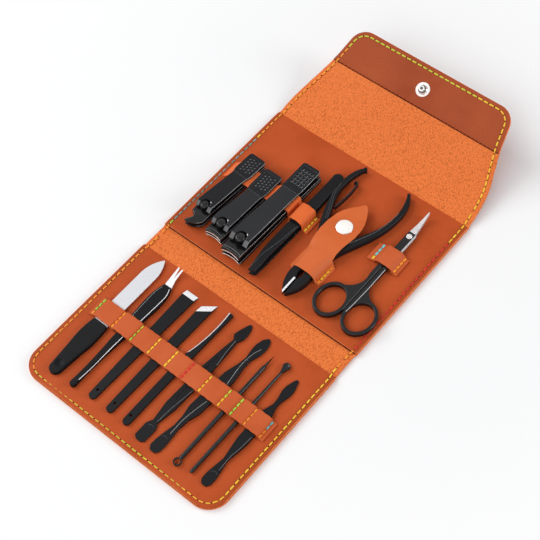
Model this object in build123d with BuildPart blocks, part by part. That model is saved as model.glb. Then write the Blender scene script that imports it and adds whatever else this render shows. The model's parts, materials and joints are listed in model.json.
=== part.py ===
"""Folding leather manicure case, shown open, with its sixteen tools in their straps.

Frame: X runs across the case, Y along it towards the closing flap, Z up.
The origin is the centre of the middle cover's underside, where the case rests.
All sizes are millimetres.
"""
from build123d import *
from dataclasses import dataclass
import os
from math import cos, radians, sin, tan

os.makedirs("parts", exist_ok=True)

# ---------------------------------------------------------------- leather case
case_width = 155.0
lower_length = 111.6
low_spine_length = 18.8
middle_length = 115.2
top_spine_length = 26.5
flap_length = 50.8
flap_end_width = 122.0
lower_corner = 14.0
flap_corner = 12.0

cover_t = 1.0
board_t = 0.8
liner_t = 0.8
facing_t = 0.8
crease_gap = 0.15
liner_setback = 0.6
strip_inset = 0.7
board_inset = 0.6
facing_start = 23.5

top_spine_tilt = 15.0
flap_tilt_ratio = 94.0 / 90.0

crease_z = cover_t + board_t
panel_top = crease_z + liner_t
crease_2 = -middle_length / 2
crease_1 = crease_2 - low_spine_length
free_edge = crease_1 - lower_length
crease_3 = middle_length / 2
flap_tilt = top_spine_tilt * (1 + flap_tilt_ratio)
strip_width = case_width - 2 * strip_inset

# ---------------------------------------------------------------- fits and straps
seat = 0.2
strap_t = 1.0
strap_clear = 0.3
strap_bend = 0.65
strap_lean = 0.3
arm_gap = 0.1
lever_clear = 0.5
pivot_clear = 0.1
tool_bed = panel_top + seat

# ---------------------------------------------------------------- press studs
stud_along_flap = 35.0
stud_flange_r = 4.9
stud_flange_t = 0.6
knob_r = 2.0
knob_height = 3.9
socket_r = 5.0
socket_t = 1.7
socket_clear = 0.25
cap_r = 5.5
cap_t = 1.4

# ---------------------------------------------------------------- lower tools
strap_y = -128.5
strap_width = 14.0
tool_strap_left = -69.3
tool_strap_right = 69.8

file_x = -57.8
file_blade_width = 10.5
file_blade_t = 0.8
file_tip = -79.1
file_handle_front = -136.2
file_handle_end = -179.5
file_handle_t = 3.0
file_handle_half = 6.4

trimmer_x = -42.2
trimmer_tip = -77.4
trimmer_handle_front = -92.0
trimmer_handle_end = -178.5
trimmer_handle_width = 9.6
trimmer_t = 3.0

knife_t = 1.8
knife_end = -177.0
knife_shank_start = strap_y - 7.5
knife_shank_half = 2.5
knife_hole_r = 0.9
flat_knife_x = -27.6
flat_knife_tip = -86.1
flat_knife_width = 9.3
slant_knife_x = -13.4
slant_knife_tip = -83.4
slant_knife_width = 8.0
curved_knife_x = -0.2
curved_knife_tip = -82.5
curved_knife_width = 5.6

pusher_t = 2.2
pusher_end_t = 1.3
pusher_round = 1.0
spear_x = 14.2
spear_lean = 1.7
spear_width = 7.2
leaf_x = 27.4
leaf_lean = 4.0
leaf_width = 8.2
small_x = 61.1
small_lean = 0.4
small_width = 7.0

needle_x = 40.2
needle_tip = -88.3
needle_r = 1.3
needle_ring_r = 2.6
ear_pick_x = 50.5
ear_pick_tip = -87.5
ear_pick_end = -175.5
ear_pick_r = 1.25
ear_cup_width = 4.6
ear_cup_length = 7.4

# ---------------------------------------------------------------- nail clippers
arm_spread = 3.3
rivet_back = 3.0
rivet_r = 1.0
rivet_head = 0.7
pin_r = 0.55
pad_corner = 2.2
clipper_strap_y = 0.25
clipper_strap_width = 13.5
clipper_strap_left = -71.0
clipper_strap_right = -15.9


@dataclass
class ClipperSize:
    """Sizes of one nail clipper; places along it are measured from its cutting edge."""

    name: str
    x: float
    front: float
    lean: float
    length: float
    width: float
    strip: float
    post_at: float
    lever_t: float
    lever_width: float
    waist_width: float
    pad_width: float
    pad_start: float
    lever_end: float
    pin_rise: float
    nose: float
    edge_low: float
    gap: float
    face: float

    def hinge_at(self):
        return self.length - rivet_back

    def arm_top(self, place):
        """Height of the upper arm's top, which climbs from the rivet to the nose."""
        climb = (self.hinge_at() - place) * tan(radians(arm_spread))
        return 2 * self.strip + arm_gap + climb

    def strap_rise(self):
        """Height that the strap leaves free over the arms and over the rivet's head."""
        place = clipper_strap_y - clipper_strap_width / 2 - self.front
        return max(self.arm_top(place), self.arm_top(self.hinge_at()) + rivet_head)

    def placing(self):
        """Place of the cutting edge's middle, turned by the clipper's lean."""
        return Location((self.x, self.front, tool_bed), (0, 0, -self.lean))


small_clipper = ClipperSize(
    name="small",
    x=-61.4,
    front=-50.3,
    lean=2.4,
    length=64.0,
    width=12.0,
    strip=1.8,
    post_at=14.6,
    lever_t=1.4,
    lever_width=12.1,
    waist_width=11.2,
    pad_width=13.2,
    pad_start=47.4,
    lever_end=65.4,
    pin_rise=3.4,
    nose=11.5,
    edge_low=2.5,
    gap=1.9,
    face=1.3,
)
medium_clipper = ClipperSize(
    name="medium",
    x=-43.4,
    front=-48.5,
    lean=0.8,
    length=59.0,
    width=13.2,
    strip=1.8,
    post_at=8.6,
    lever_t=1.4,
    lever_width=13.4,
    waist_width=11.8,
    pad_width=13.6,
    pad_start=40.4,
    lever_end=60.3,
    pin_rise=3.4,
    nose=6.0,
    edge_low=2.2,
    gap=2.6,
    face=0.5,
)
large_clipper = ClipperSize(
    name="large",
    x=-25.2,
    front=-53.1,
    lean=0.0,
    length=81.5,
    width=14.5,
    strip=2.2,
    post_at=11.0,
    lever_t=1.6,
    lever_width=14.2,
    waist_width=12.9,
    pad_width=13.6,
    pad_start=59.6,
    lever_end=82.4,
    pin_rise=4.2,
    nose=7.0,
    edge_low=2.4,
    gap=3.6,
    face=0.6,
)

# ---------------------------------------------------------------- middle tools
tweezer_x = -8.9
tweezer_lean = -1.5
tweezer_tip = -54.4
tweezer_end = 39.4
tweezer_width = 7.4
tweezer_leaf_t = 1.2
tweezer_spread = 4.5
tweezer_gap = 3.4
loop_y = -2.0
loop_width = 14.0
loop_left = -15.6
loop_right = 0.4

nipper_x = 17.8
nipper_pivot_y = -22.0
nipper_t = 6.0
nipper_handle_top = 5.2
nipper_lap_r = 7.2
nipper_pin_r = 2.6
nipper_open = 2.5
sheath_y = -25.5
sheath_width = 17.0
sheath_left = 6.2
sheath_right = 30.3
tongue_tip = 28.3
tongue_snap_level = 6.2
snap_x = 18.5
snap_y = 6.5

scissor_x = 53.6
scissor_pivot_y = 26.8
scissor_blade_length = 21.2
scissor_plate_width = 5.8
scissor_blade_t = 1.3
scissor_pin_r = 1.3
scissor_t = 3.4
scissor_ring_half = 10.6
scissor_ring_long = 12.9
scissor_wire = 2.3
scissor_open = 2.0
scissor_ring_at = -64.8
scissor_shank_front = -12.6
scissor_shank_half = 3.2
scissor_strap_y = 7.0
scissor_strap_width = 14.0
scissor_strap_left = 41.0
scissor_strap_right = 63.4


# ---------------------------------------------------------------- planes and helpers
def rising_plane(origin_y, origin_z, tilt):
    """Plane whose own Y climbs from a crease at the given tilt."""
    lean = radians(tilt)
    return Plane(origin=(0, origin_y, origin_z), x_dir=(1, 0, 0), z_dir=(0, -sin(lean), cos(lean)))


def side_plane(x, y, z):
    """Plane seen from the side: its own X runs along the case and its own Y runs up."""
    return Plane(origin=(x, y, z), x_dir=(0, 1, 0), z_dir=(1, 0, 0))


def across_plane(y, z):
    """Plane seen along the case: its own X runs across and its own Y runs up."""
    return Plane(origin=(0, y, z), x_dir=(1, 0, 0), z_dir=(0, -1, 0))


def lean_plane(x, y, z, lean):
    """Level plane turned about the upright so that its own Y follows a leaning tool."""
    turn = radians(lean)
    return Plane(origin=(x, y, z), x_dir=(cos(turn), -sin(turn), 0), z_dir=(0, 0, 1))


spine_plane = rising_plane(crease_3, crease_z, top_spine_tilt)
crease_4_y = crease_3 + top_spine_length * cos(radians(top_spine_tilt))
crease_4_z = crease_z + top_spine_length * sin(radians(top_spine_tilt))
flap_plane = rising_plane(crease_4_y, crease_4_z, flap_tilt)


def save(part, name):
    part.label = name
    export_step(part, "parts/" + name + ".step")


# ---------------------------------------------------------------- leather panels
def leather_sheet(plane, width, start, end, base, thickness, corner=0.0):
    """Flat sheet between two lines of a panel, with its starting corners rounded."""
    with BuildPart() as sheet:
        with BuildSketch(plane.offset(base)) as outline:
            with Locations((0, (start + end) / 2)):
                Rectangle(width, end - start)
            if corner > 0:
                fillet(outline.vertices().group_by(Axis.Y)[0], radius=corner)
        extrude(amount=thickness)
    return sheet.part


def flap_sheet(start, base, thickness, inset=0.0):
    """Sheet of the flap, which narrows towards its rounded end."""
    taper = (strip_width - flap_end_width) / flap_length
    start_width = strip_width - taper * start - 2 * inset
    end_width = flap_end_width - 2 * inset
    end = flap_length - inset
    with BuildPart() as sheet:
        with BuildSketch(flap_plane.offset(base)) as outline:
            with BuildLine():
                Polyline(
                    (-start_width / 2, start),
                    (start_width / 2, start),
                    (end_width / 2, end),
                    (-end_width / 2, end),
                    close=True,
                )
            make_face()
            fillet(outline.vertices().group_by(Axis.Y)[-1], radius=flap_corner - inset)
        extrude(amount=thickness)
    return sheet.part


middle_start = crease_2 + crease_gap
middle_end = crease_3 - crease_gap
lower_end = crease_1 - crease_gap

middle_cover = leather_sheet(Plane.XY, case_width, middle_start, middle_end, 0, cover_t)
save(middle_cover, "middle_cover")
middle_board = leather_sheet(
    Plane.XY, case_width - 2 * board_inset, middle_start, middle_end, cover_t, board_t
)
save(middle_board, "middle_board")
middle_liner = leather_sheet(
    Plane.XY, case_width, crease_2 + liner_setback, crease_3 - liner_setback, crease_z, liner_t
)
save(middle_liner, "middle_liner")

spine_start = crease_1 + crease_gap
spine_end = crease_2 - crease_gap
save(leather_sheet(Plane.XY, strip_width, spine_start, spine_end, 0, cover_t), "low_spine_cover")
save(
    leather_sheet(Plane.XY, strip_width, spine_start, spine_end, cover_t, board_t),
    "low_spine_lining",
)

# The socket of the closing stud sits flush in the outer side of the lower cover.
# It stands where the knob on the folded flap comes down.
closed_flap_drop = radians(90 * flap_tilt_ratio - 90)
closed_crease_4_z = crease_z + top_spine_length
closed_cover_z = crease_z + low_spine_length + crease_z
closed_stud_z = closed_crease_4_z - stud_along_flap * sin(closed_flap_drop)
knob_tip_offset = facing_t + knob_height
mouth_offset = (closed_stud_z - closed_cover_z) / cos(closed_flap_drop)
knob_offset = (knob_tip_offset + mouth_offset) / 2
closed_stud_y = (
    crease_3 - stud_along_flap * cos(closed_flap_drop) + knob_offset * sin(closed_flap_drop)
)
socket_y = crease_1 + crease_2 - closed_stud_y

with BuildPart() as lower_cover:
    add(leather_sheet(Plane.XY, case_width, free_edge, lower_end, 0, cover_t, lower_corner))
    with Locations((0, socket_y, 0)):
        Hole(radius=socket_r + seat)
save(lower_cover.part, "lower_cover")

with BuildPart() as lower_board:
    add(
        leather_sheet(
            Plane.XY,
            case_width - 2 * board_inset,
            free_edge + board_inset,
            lower_end,
            cover_t,
            board_t,
            lower_corner - board_inset,
        )
    )
    with Locations((0, socket_y, 0)):
        Hole(radius=socket_r + seat)
save(lower_board.part, "lower_board")

liner_end = crease_1 - liner_setback
save(
    leather_sheet(Plane.XY, case_width, free_edge, liner_end, crease_z, liner_t, lower_corner),
    "lower_liner",
)

with BuildPart() as closure_socket:
    with Locations((0, socket_y, 0)):
        Cylinder(socket_r, socket_t, align=(Align.CENTER, Align.CENTER, Align.MIN))
        Cylinder(
            knob_r + socket_clear,
            socket_t - 0.25,
            align=(Align.CENTER, Align.CENTER, Align.MIN),
            mode=Mode.SUBTRACT,
        )
save(closure_socket.part, "closure_socket")

spine_sheet_end = top_spine_length - crease_gap
save(
    leather_sheet(spine_plane, strip_width, crease_gap, spine_sheet_end, -crease_z, cover_t),
    "top_spine_cover",
)
save(
    leather_sheet(spine_plane, strip_width, crease_gap, spine_sheet_end, -board_t, board_t),
    "top_spine_lining",
)

save(flap_sheet(crease_gap, -crease_z, cover_t), "flap_cover")
save(flap_sheet(crease_gap, -board_t, board_t, 0.4), "flap_lining")
save(flap_sheet(facing_start, 0, facing_t), "flap_facing")


def dome_radius(half, rise):
    """Radius of the round cap with this half width and rise."""
    return (half * half + rise * rise) / (2 * rise)


def press_stud(plane, height):
    """Stud with a dished flange, a raised ring and a knob with a rolled edge."""
    with BuildPart() as stud:
        with BuildSketch(Plane(origin=plane.origin, x_dir=plane.x_dir, z_dir=-plane.y_dir)):
            with BuildLine():
                Line((0, 0), (stud_flange_r, 0))
                Line((stud_flange_r, 0), (stud_flange_r, 0.3))
                Line((stud_flange_r, 0.3), (stud_flange_r - 0.5, stud_flange_t))
                Line((stud_flange_r - 0.5, stud_flange_t), (4.2, 0.4))
                Line((4.2, 0.4), (3.6, 0.4))
                Line((3.6, 0.4), (3.0, 1.3))
                Line((3.0, 1.3), (knob_r - 0.4, 1.3))
                Line((knob_r - 0.4, 1.3), (knob_r - 0.4, height - 1.0))
                Line((knob_r - 0.4, height - 1.0), (knob_r, height - 0.8))
                Line((knob_r, height - 0.8), (knob_r, height - 0.4))
                RadiusArc((knob_r, height - 0.4), (0, height), -dome_radius(knob_r, 0.4))
                Line((0, height), (0, 0))
            make_face()
        revolve(axis=Axis(plane.origin, plane.z_dir))
    return stud.part


stud_plane = Plane(
    origin=flap_plane.from_local_coords((0, stud_along_flap, facing_t)),
    x_dir=flap_plane.x_dir,
    z_dir=flap_plane.z_dir,
)
save(press_stud(stud_plane, knob_height), "closure_stud")


# ---------------------------------------------------------------- straps
def strap(y, width, left, right, bays):
    """Stitched strap: flat between the bays and lifted over each tool.

    A bay is (left wall, right wall, height inside, spread of each foot).
    """
    low = strap_t / 2
    points = [(left, low)]
    for wall_left, wall_right, height, foot in bays:
        points.append((wall_left - foot, low))
        points.append((wall_left, height + low))
        points.append((wall_right, height + low))
        points.append((wall_right + foot, low))
    points.append((right, low))
    with BuildPart() as band:
        with BuildSketch(across_plane(y, panel_top)):
            with BuildLine():
                FilletPolyline(*points, radius=strap_bend)
            trace(line_width=strap_t)
        extrude(amount=width / 2, both=True)
    return band.part


def bay(x, passage, height, foot=strap_lean):
    """Bay for a tool whose widest passing stretch and highest top are given."""
    reach = passage / 2 + strap_t / 2 + strap_clear
    return (x - reach, x + reach, seat + height + strap_clear, foot)


lower_bays = [
    bay(file_x, file_blade_width, (file_handle_t + file_blade_t) / 2),
    bay(trimmer_x, trimmer_handle_width, trimmer_t),
    bay(flat_knife_x, flat_knife_width, knife_t),
    bay(slant_knife_x, slant_knife_width, knife_t),
    bay(curved_knife_x, curved_knife_width + 0.6, knife_t),
    bay(spear_x, spear_width + 0.4, pusher_t),
    bay(leaf_x, leaf_width + 1.0, pusher_t),
    bay(needle_x, 2 * needle_r, 2 * needle_r, 2.6),
    bay(ear_pick_x, ear_cup_width, 2 * ear_pick_r, 0.6),
    bay(small_x, small_width + 0.4, pusher_t),
]
save(
    strap(strap_y, strap_width, tool_strap_left, tool_strap_right, lower_bays),
    "tool_strap",
)


# ---------------------------------------------------------------- file
file_slot_depth = 7.0
file_blade_z = tool_bed + (file_handle_t - file_blade_t) / 2
with BuildPart() as file_blade:
    with BuildSketch(Plane.XY.offset(file_blade_z)):
        with BuildLine():
            half = file_blade_width / 2
            Line((file_x - half, file_tip - 15), (file_x - half, file_handle_front - file_slot_depth))
            Line(
                (file_x - half, file_handle_front - file_slot_depth),
                (file_x + half, file_handle_front - file_slot_depth),
            )
            Line((file_x + half, file_handle_front - file_slot_depth), (file_x + half, file_tip - 15))
            ThreePointArc(
                (file_x + half, file_tip - 15),
                (file_x + half * 0.78, file_tip - 6.5),
                (file_x + 0.9, file_tip),
            )
            ThreePointArc(
                (file_x + 0.9, file_tip),
                (file_x - half * 0.62, file_tip - 6.5),
                (file_x - half, file_tip - 15),
            )
        make_face()
    extrude(amount=file_blade_t)
save(file_blade.part, "file_blade")

file_waist = file_handle_half - 0.8
file_end_half = 4.2
with BuildPart() as file_handle:
    with BuildSketch(Plane.XY.offset(tool_bed)) as outline:
        with BuildLine():
            Line((file_x - 5.35, file_handle_front), (file_x + 5.35, file_handle_front))
            ThreePointArc(
                (file_x + 5.35, file_handle_front),
                (file_x + file_handle_half, file_handle_front - 11),
                (file_x + file_waist, file_handle_front - 22),
            )
            Line(
                (file_x + file_waist, file_handle_front - 22),
                (file_x + file_end_half, file_handle_end + 4.5),
            )
            ThreePointArc(
                (file_x + file_end_half, file_handle_end + 4.5),
                (file_x, file_handle_end),
                (file_x - file_end_half, file_handle_end + 4.5),
            )
            Line(
                (file_x - file_end_half, file_handle_end + 4.5),
                (file_x - file_waist, file_handle_front - 22),
            )
            ThreePointArc(
                (file_x - file_waist, file_handle_front - 22),
                (file_x - file_handle_half, file_handle_front - 11),
                (file_x - 5.35, file_handle_front),
            )
        make_face()
        fillet(outline.vertices().group_by(Axis.Y)[-1], radius=1.0)
    extrude(amount=file_handle_t)
    fillet(file_handle.faces().sort_by(Axis.Z)[-1].edges(), radius=0.9)
    with BuildSketch(Plane.XY.offset(file_blade_z - 0.05)):
        with Locations((file_x, file_handle_front - file_slot_depth / 2)):
            Rectangle(file_blade_width + 0.1, file_slot_depth + 0.2)
    extrude(amount=file_blade_t + 0.1, mode=Mode.SUBTRACT)
    with Locations((file_x, file_handle_end + 7.5, tool_bed + file_handle_t + 5.2)):
        Sphere(6.0, mode=Mode.SUBTRACT)
save(file_handle.part, "file_handle")

# ---------------------------------------------------------------- cuticle trimmer
trimmer_half = trimmer_handle_width / 2
with BuildPart() as trimmer_handle:
    with BuildSketch(Plane.XY.offset(tool_bed)):
        with BuildLine():
            Line((trimmer_x - 2.9, trimmer_handle_front), (trimmer_x + 2.5, trimmer_handle_front))
            Spline(
                (trimmer_x + 2.5, trimmer_handle_front),
                (trimmer_x + trimmer_half, trimmer_handle_front - 8),
                (trimmer_x + trimmer_half - 0.5, trimmer_handle_front - 28),
                (trimmer_x + trimmer_half - 1.6, trimmer_handle_front - 44),
                (trimmer_x + 2.1, trimmer_handle_end + 2.5),
            )
            ThreePointArc(
                (trimmer_x + 2.1, trimmer_handle_end + 2.5),
                (trimmer_x, trimmer_handle_end),
                (trimmer_x - 2.1, trimmer_handle_end + 2.5),
            )
            Spline(
                (trimmer_x - 2.1, trimmer_handle_end + 2.5),
                (trimmer_x - trimmer_half + 1.6, trimmer_handle_front - 44),
                (trimmer_x - trimmer_half + 0.5, trimmer_handle_front - 28),
                (trimmer_x - trimmer_half, trimmer_handle_front - 8),
                (trimmer_x - 2.9, trimmer_handle_front),
            )
        make_face()
    extrude(amount=trimmer_t)
    fillet(trimmer_handle.faces().sort_by(Axis.Z)[-1].edges(), radius=0.9)
save(trimmer_handle.part, "trimmer_handle")

fork_base = trimmer_handle_front + 0.05
with BuildPart() as trimmer_fork:
    with BuildSketch(side_plane(trimmer_x, fork_base, tool_bed)):
        with BuildLine():
            Polyline(
                (0, 0.9),
                (0, 2.1),
                (trimmer_tip - fork_base, 2.9),
                (trimmer_tip - fork_base, 2.3),
                close=True,
            )
        make_face()
    extrude(amount=6, both=True)
    with BuildSketch(Plane.XY.offset(tool_bed)):
        with BuildLine():
            Polyline(
                (trimmer_x - 2.9, fork_base),
                (trimmer_x + 2.4, fork_base),
                (trimmer_x + 0.6, trimmer_tip - 8.6),
                (trimmer_x - 0.4, trimmer_tip),
                (trimmer_x - 1.3, trimmer_tip - 1.2),
                (trimmer_x - 1.2, trimmer_tip - 8.1),
                (trimmer_x - 3.0, trimmer_tip - 0.8),
                (trimmer_x - 4.1, trimmer_tip),
                (trimmer_x - 3.4, trimmer_tip - 8.6),
                close=True,
            )
        make_face()
    extrude(amount=trimmer_t, mode=Mode.INTERSECT)
save(trimmer_fork.part, "trimmer_fork")


# ---------------------------------------------------------------- cuticle knives
def knife(name, x, head, bevel_edge, bevel_length):
    """Flat knife: its head outline, then a shank that narrows to a round, holed end."""
    shank_end = knife_end + knife_shank_half
    outline = head + [(x + knife_shank_half, shank_end), (x - knife_shank_half, shank_end)]
    with BuildPart() as blade:
        with BuildSketch(Plane.XY.offset(tool_bed)) as profile:
            with BuildLine():
                Polyline(*outline, close=True)
            make_face()
            with Locations((x, shank_end)):
                Circle(knife_shank_half)
        extrude(amount=knife_t)
        tip = blade.edges().filter_by(GeomType.LINE).group_by(Axis.Z)[-1]
        chamfer(tip.sort_by_distance(bevel_edge)[0], length=knife_t - 0.3, length2=bevel_length)
        with Locations((x, knife_end + 6.5, tool_bed + knife_t)):
            Hole(radius=knife_hole_r)
    save(blade.part, name)
    return blade.part


flat_half = flat_knife_width / 2
knife(
    "flat_knife",
    flat_knife_x,
    [
        (flat_knife_x - 3.3, knife_shank_start),
        (flat_knife_x - flat_half, flat_knife_tip),
        (flat_knife_x + flat_half, flat_knife_tip),
        (flat_knife_x + 3.3, knife_shank_start),
    ],
    (flat_knife_x, flat_knife_tip, tool_bed + knife_t),
    4.1,
)
slant_half = slant_knife_width / 2
knife(
    "slant_knife",
    slant_knife_x,
    [
        (slant_knife_x - 3.2, knife_shank_start),
        (slant_knife_x - slant_half, slant_knife_tip - 5.9),
        (slant_knife_x + slant_half, slant_knife_tip),
        (slant_knife_x + 3.2, knife_shank_start),
    ],
    (slant_knife_x, slant_knife_tip - 3, tool_bed + knife_t),
    4.4,
)

curved_shank_end = knife_end + knife_shank_half
curved_hollow_start = strap_y + 9.5
curved_hollow_middle = curved_knife_tip - 18.5
with BuildPart() as curved_knife:
    with BuildSketch(Plane.XY.offset(tool_bed)):
        with BuildLine():
            Polyline(
                (curved_knife_x - 0.7, curved_knife_tip),
                (curved_knife_x + 3.2, curved_knife_tip - 0.6),
                (curved_knife_x + 2.6, strap_y + 3.5),
                (curved_knife_x + knife_shank_half, curved_shank_end),
                (curved_knife_x - knife_shank_half, curved_shank_end),
                (curved_knife_x - 3.0, curved_hollow_start),
            )
            ThreePointArc(
                (curved_knife_x - 3.0, curved_hollow_start),
                (curved_knife_x - 0.3, curved_hollow_middle),
                (curved_knife_x - 0.7, curved_knife_tip),
            )
        make_face()
        with Locations((curved_knife_x, curved_shank_end)):
            Circle(knife_shank_half)
    extrude(amount=knife_t)
    edge_spot = (curved_knife_x - 0.3, curved_hollow_middle, tool_bed + knife_t)
    chamfer(curved_knife.edges().sort_by_distance(edge_spot)[0], length=knife_t - 0.4, length2=1.2)
    with Locations((curved_knife_x - 0.4, knife_end + 6.5, tool_bed + knife_t)):
        Hole(radius=knife_hole_r)
save(curved_knife.part, "curved_knife")


# ---------------------------------------------------------------- cuticle pushers
def mirrored(right):
    return [(-across, along) for across, along in right]


def pusher(name, x, lean, neck, right, left, groove=False):
    """Double-ended pusher.

    Both sides run from the rear end to the tip, as (across, along) from the strap's middle.
    The neck is the place along it from which the head thins.
    """
    turn = lean_plane(x, strap_y, tool_bed, lean)
    rear = right[0][1]
    tip = right[-1][1]
    with BuildPart() as tool:
        with BuildSketch(turn):
            with BuildLine():
                FilletPolyline(*right, *reversed(left), radius=pusher_round, close=True)
            make_face()
        extrude(amount=pusher_t)
        with BuildSketch(Plane(origin=turn.origin, x_dir=turn.y_dir, z_dir=turn.x_dir)):
            with BuildLine():
                Polyline(
                    (rear - 1, 0),
                    (rear - 1, pusher_end_t - 0.4),
                    (rear + 12, pusher_end_t),
                    (rear + 28, pusher_t),
                    (neck - 9, pusher_t),
                    (neck + 1, pusher_end_t + 0.3),
                    (tip + 1, pusher_end_t - 0.6),
                    (tip + 1, 0),
                    close=True,
                )
            make_face()
        extrude(amount=12, both=True, mode=Mode.INTERSECT)
        if groove:
            with BuildSketch(turn.offset(pusher_t)):
                SlotOverall(36, 2.6, rotation=90)
            extrude(amount=-0.4, mode=Mode.SUBTRACT)
    save(tool.part, name)


spear_half = spear_width / 2
spear_body = [
    (1.7, -50.6),
    (3.7, -49.0),
    (3.8, -39.6),
    (1.8, -35.8),
    (spear_half, -23.0),
    (spear_half, 7.0),
    (2.0, 26.0),
    (1.4, 33.0),
]
pusher(
    "spear_pusher",
    spear_x,
    spear_lean,
    33.0,
    spear_body + [(3.2, 37.2), (3.2, 40.4), (2.4, 44.6), (0.9, 47.6)],
    mirrored(spear_body) + [(-3.7, 36.2), (-3.2, 39.4), (-1.9, 44.2), (-0.7, 47.6)],
    groove=True,
)
leaf_half = leaf_width / 2
leaf_right = [
    (1.9, -50.8),
    (3.6, -48.4),
    (3.7, -44.0),
    (3.1, -39.0),
    (1.8, -31.0),
    (2.3, -23.5),
    (leaf_half, -16.5),
    (leaf_half, 12.5),
    (2.0, 23.0),
    (1.8, 28.5),
    (3.4, 35.5),
    (3.6, 39.5),
    (2.8, 43.8),
    (0.9, 46.9),
]
pusher("leaf_pusher", leaf_x, leaf_lean, 28.5, leaf_right, mirrored(leaf_right))
small_half = small_width / 2
small_right = [
    (1.7, -47.8),
    (3.3, -45.4),
    (3.4, -41.0),
    (2.7, -36.5),
    (1.4, -29.0),
    (small_half, -14.0),
    (small_half, 7.0),
    (1.3, 15.0),
    (1.6, 19.0),
    (3.0, 25.0),
    (2.9, 28.8),
    (1.9, 32.6),
    (0.8, 35.9),
]
pusher("small_pusher", small_x, small_lean, 15.0, small_right, mirrored(small_right))

# ---------------------------------------------------------------- needle and ear pick
needle_z = tool_bed + needle_r
needle_ring_y = -175.2
with BuildPart() as needle:
    with BuildSketch(Plane(origin=(needle_x, 0, needle_z), x_dir=(0, 1, 0), z_dir=(0, 0, 1))):
        with BuildLine():
            Polyline(
                (needle_tip, 0),
                (needle_tip - 9.0, 0.85),
                (needle_tip - 10.0, needle_r),
                (needle_ring_y + 3.4, needle_r),
                (needle_ring_y + 2.0, 0.7),
                (needle_ring_y + 2.0, 0),
                close=True,
            )
        make_face()
    revolve(axis=Axis((needle_x, 0, needle_z), (0, 1, 0)))
    with BuildSketch(Plane.XY.offset(needle_z - 0.6)):
        with Locations((needle_x, needle_ring_y)):
            Circle(needle_ring_r)
            Circle(needle_ring_r - 0.8, mode=Mode.SUBTRACT)
    extrude(amount=1.2)
save(needle.part, "needle")

ear_z = tool_bed + ear_pick_r
ear_half = ear_cup_width / 2
cup_y = ear_pick_tip - ear_half
cup_t = 1.5
scoop_r = 4.0
with BuildPart() as ear_pick:
    with BuildSketch(Plane(origin=(ear_pick_x, 0, ear_z), x_dir=(0, 1, 0), z_dir=(0, 0, 1))):
        with BuildLine():
            Polyline(
                (cup_y - 2.0, 0),
                (cup_y - 2.0, 0.7),
                (ear_pick_tip - ear_cup_length, 0.8),
                (strap_y, ear_pick_r),
                (ear_pick_end + 0.9, ear_pick_r - 0.1),
                (ear_pick_end, ear_pick_r - 0.7),
                (ear_pick_end, 0),
                close=True,
            )
        make_face()
    revolve(axis=Axis((ear_pick_x, 0, ear_z), (0, 1, 0)))
    with BuildSketch(Plane.XY.offset(ear_z - cup_t / 2)):
        with Locations((ear_pick_x, cup_y)):
            Circle(ear_half)
        with BuildLine():
            Polyline(
                (ear_pick_x - ear_half, cup_y),
                (ear_pick_x - 0.7, ear_pick_tip - ear_cup_length),
                (ear_pick_x + 0.7, ear_pick_tip - ear_cup_length),
                (ear_pick_x + ear_half, cup_y),
                close=True,
            )
        make_face()
    extrude(amount=cup_t)
    with Locations((ear_pick_x, cup_y + 0.2, ear_z + cup_t / 2 + scoop_r - 0.5)):
        Sphere(scoop_r, mode=Mode.SUBTRACT)
save(ear_pick.part, "ear_pick")


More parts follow.
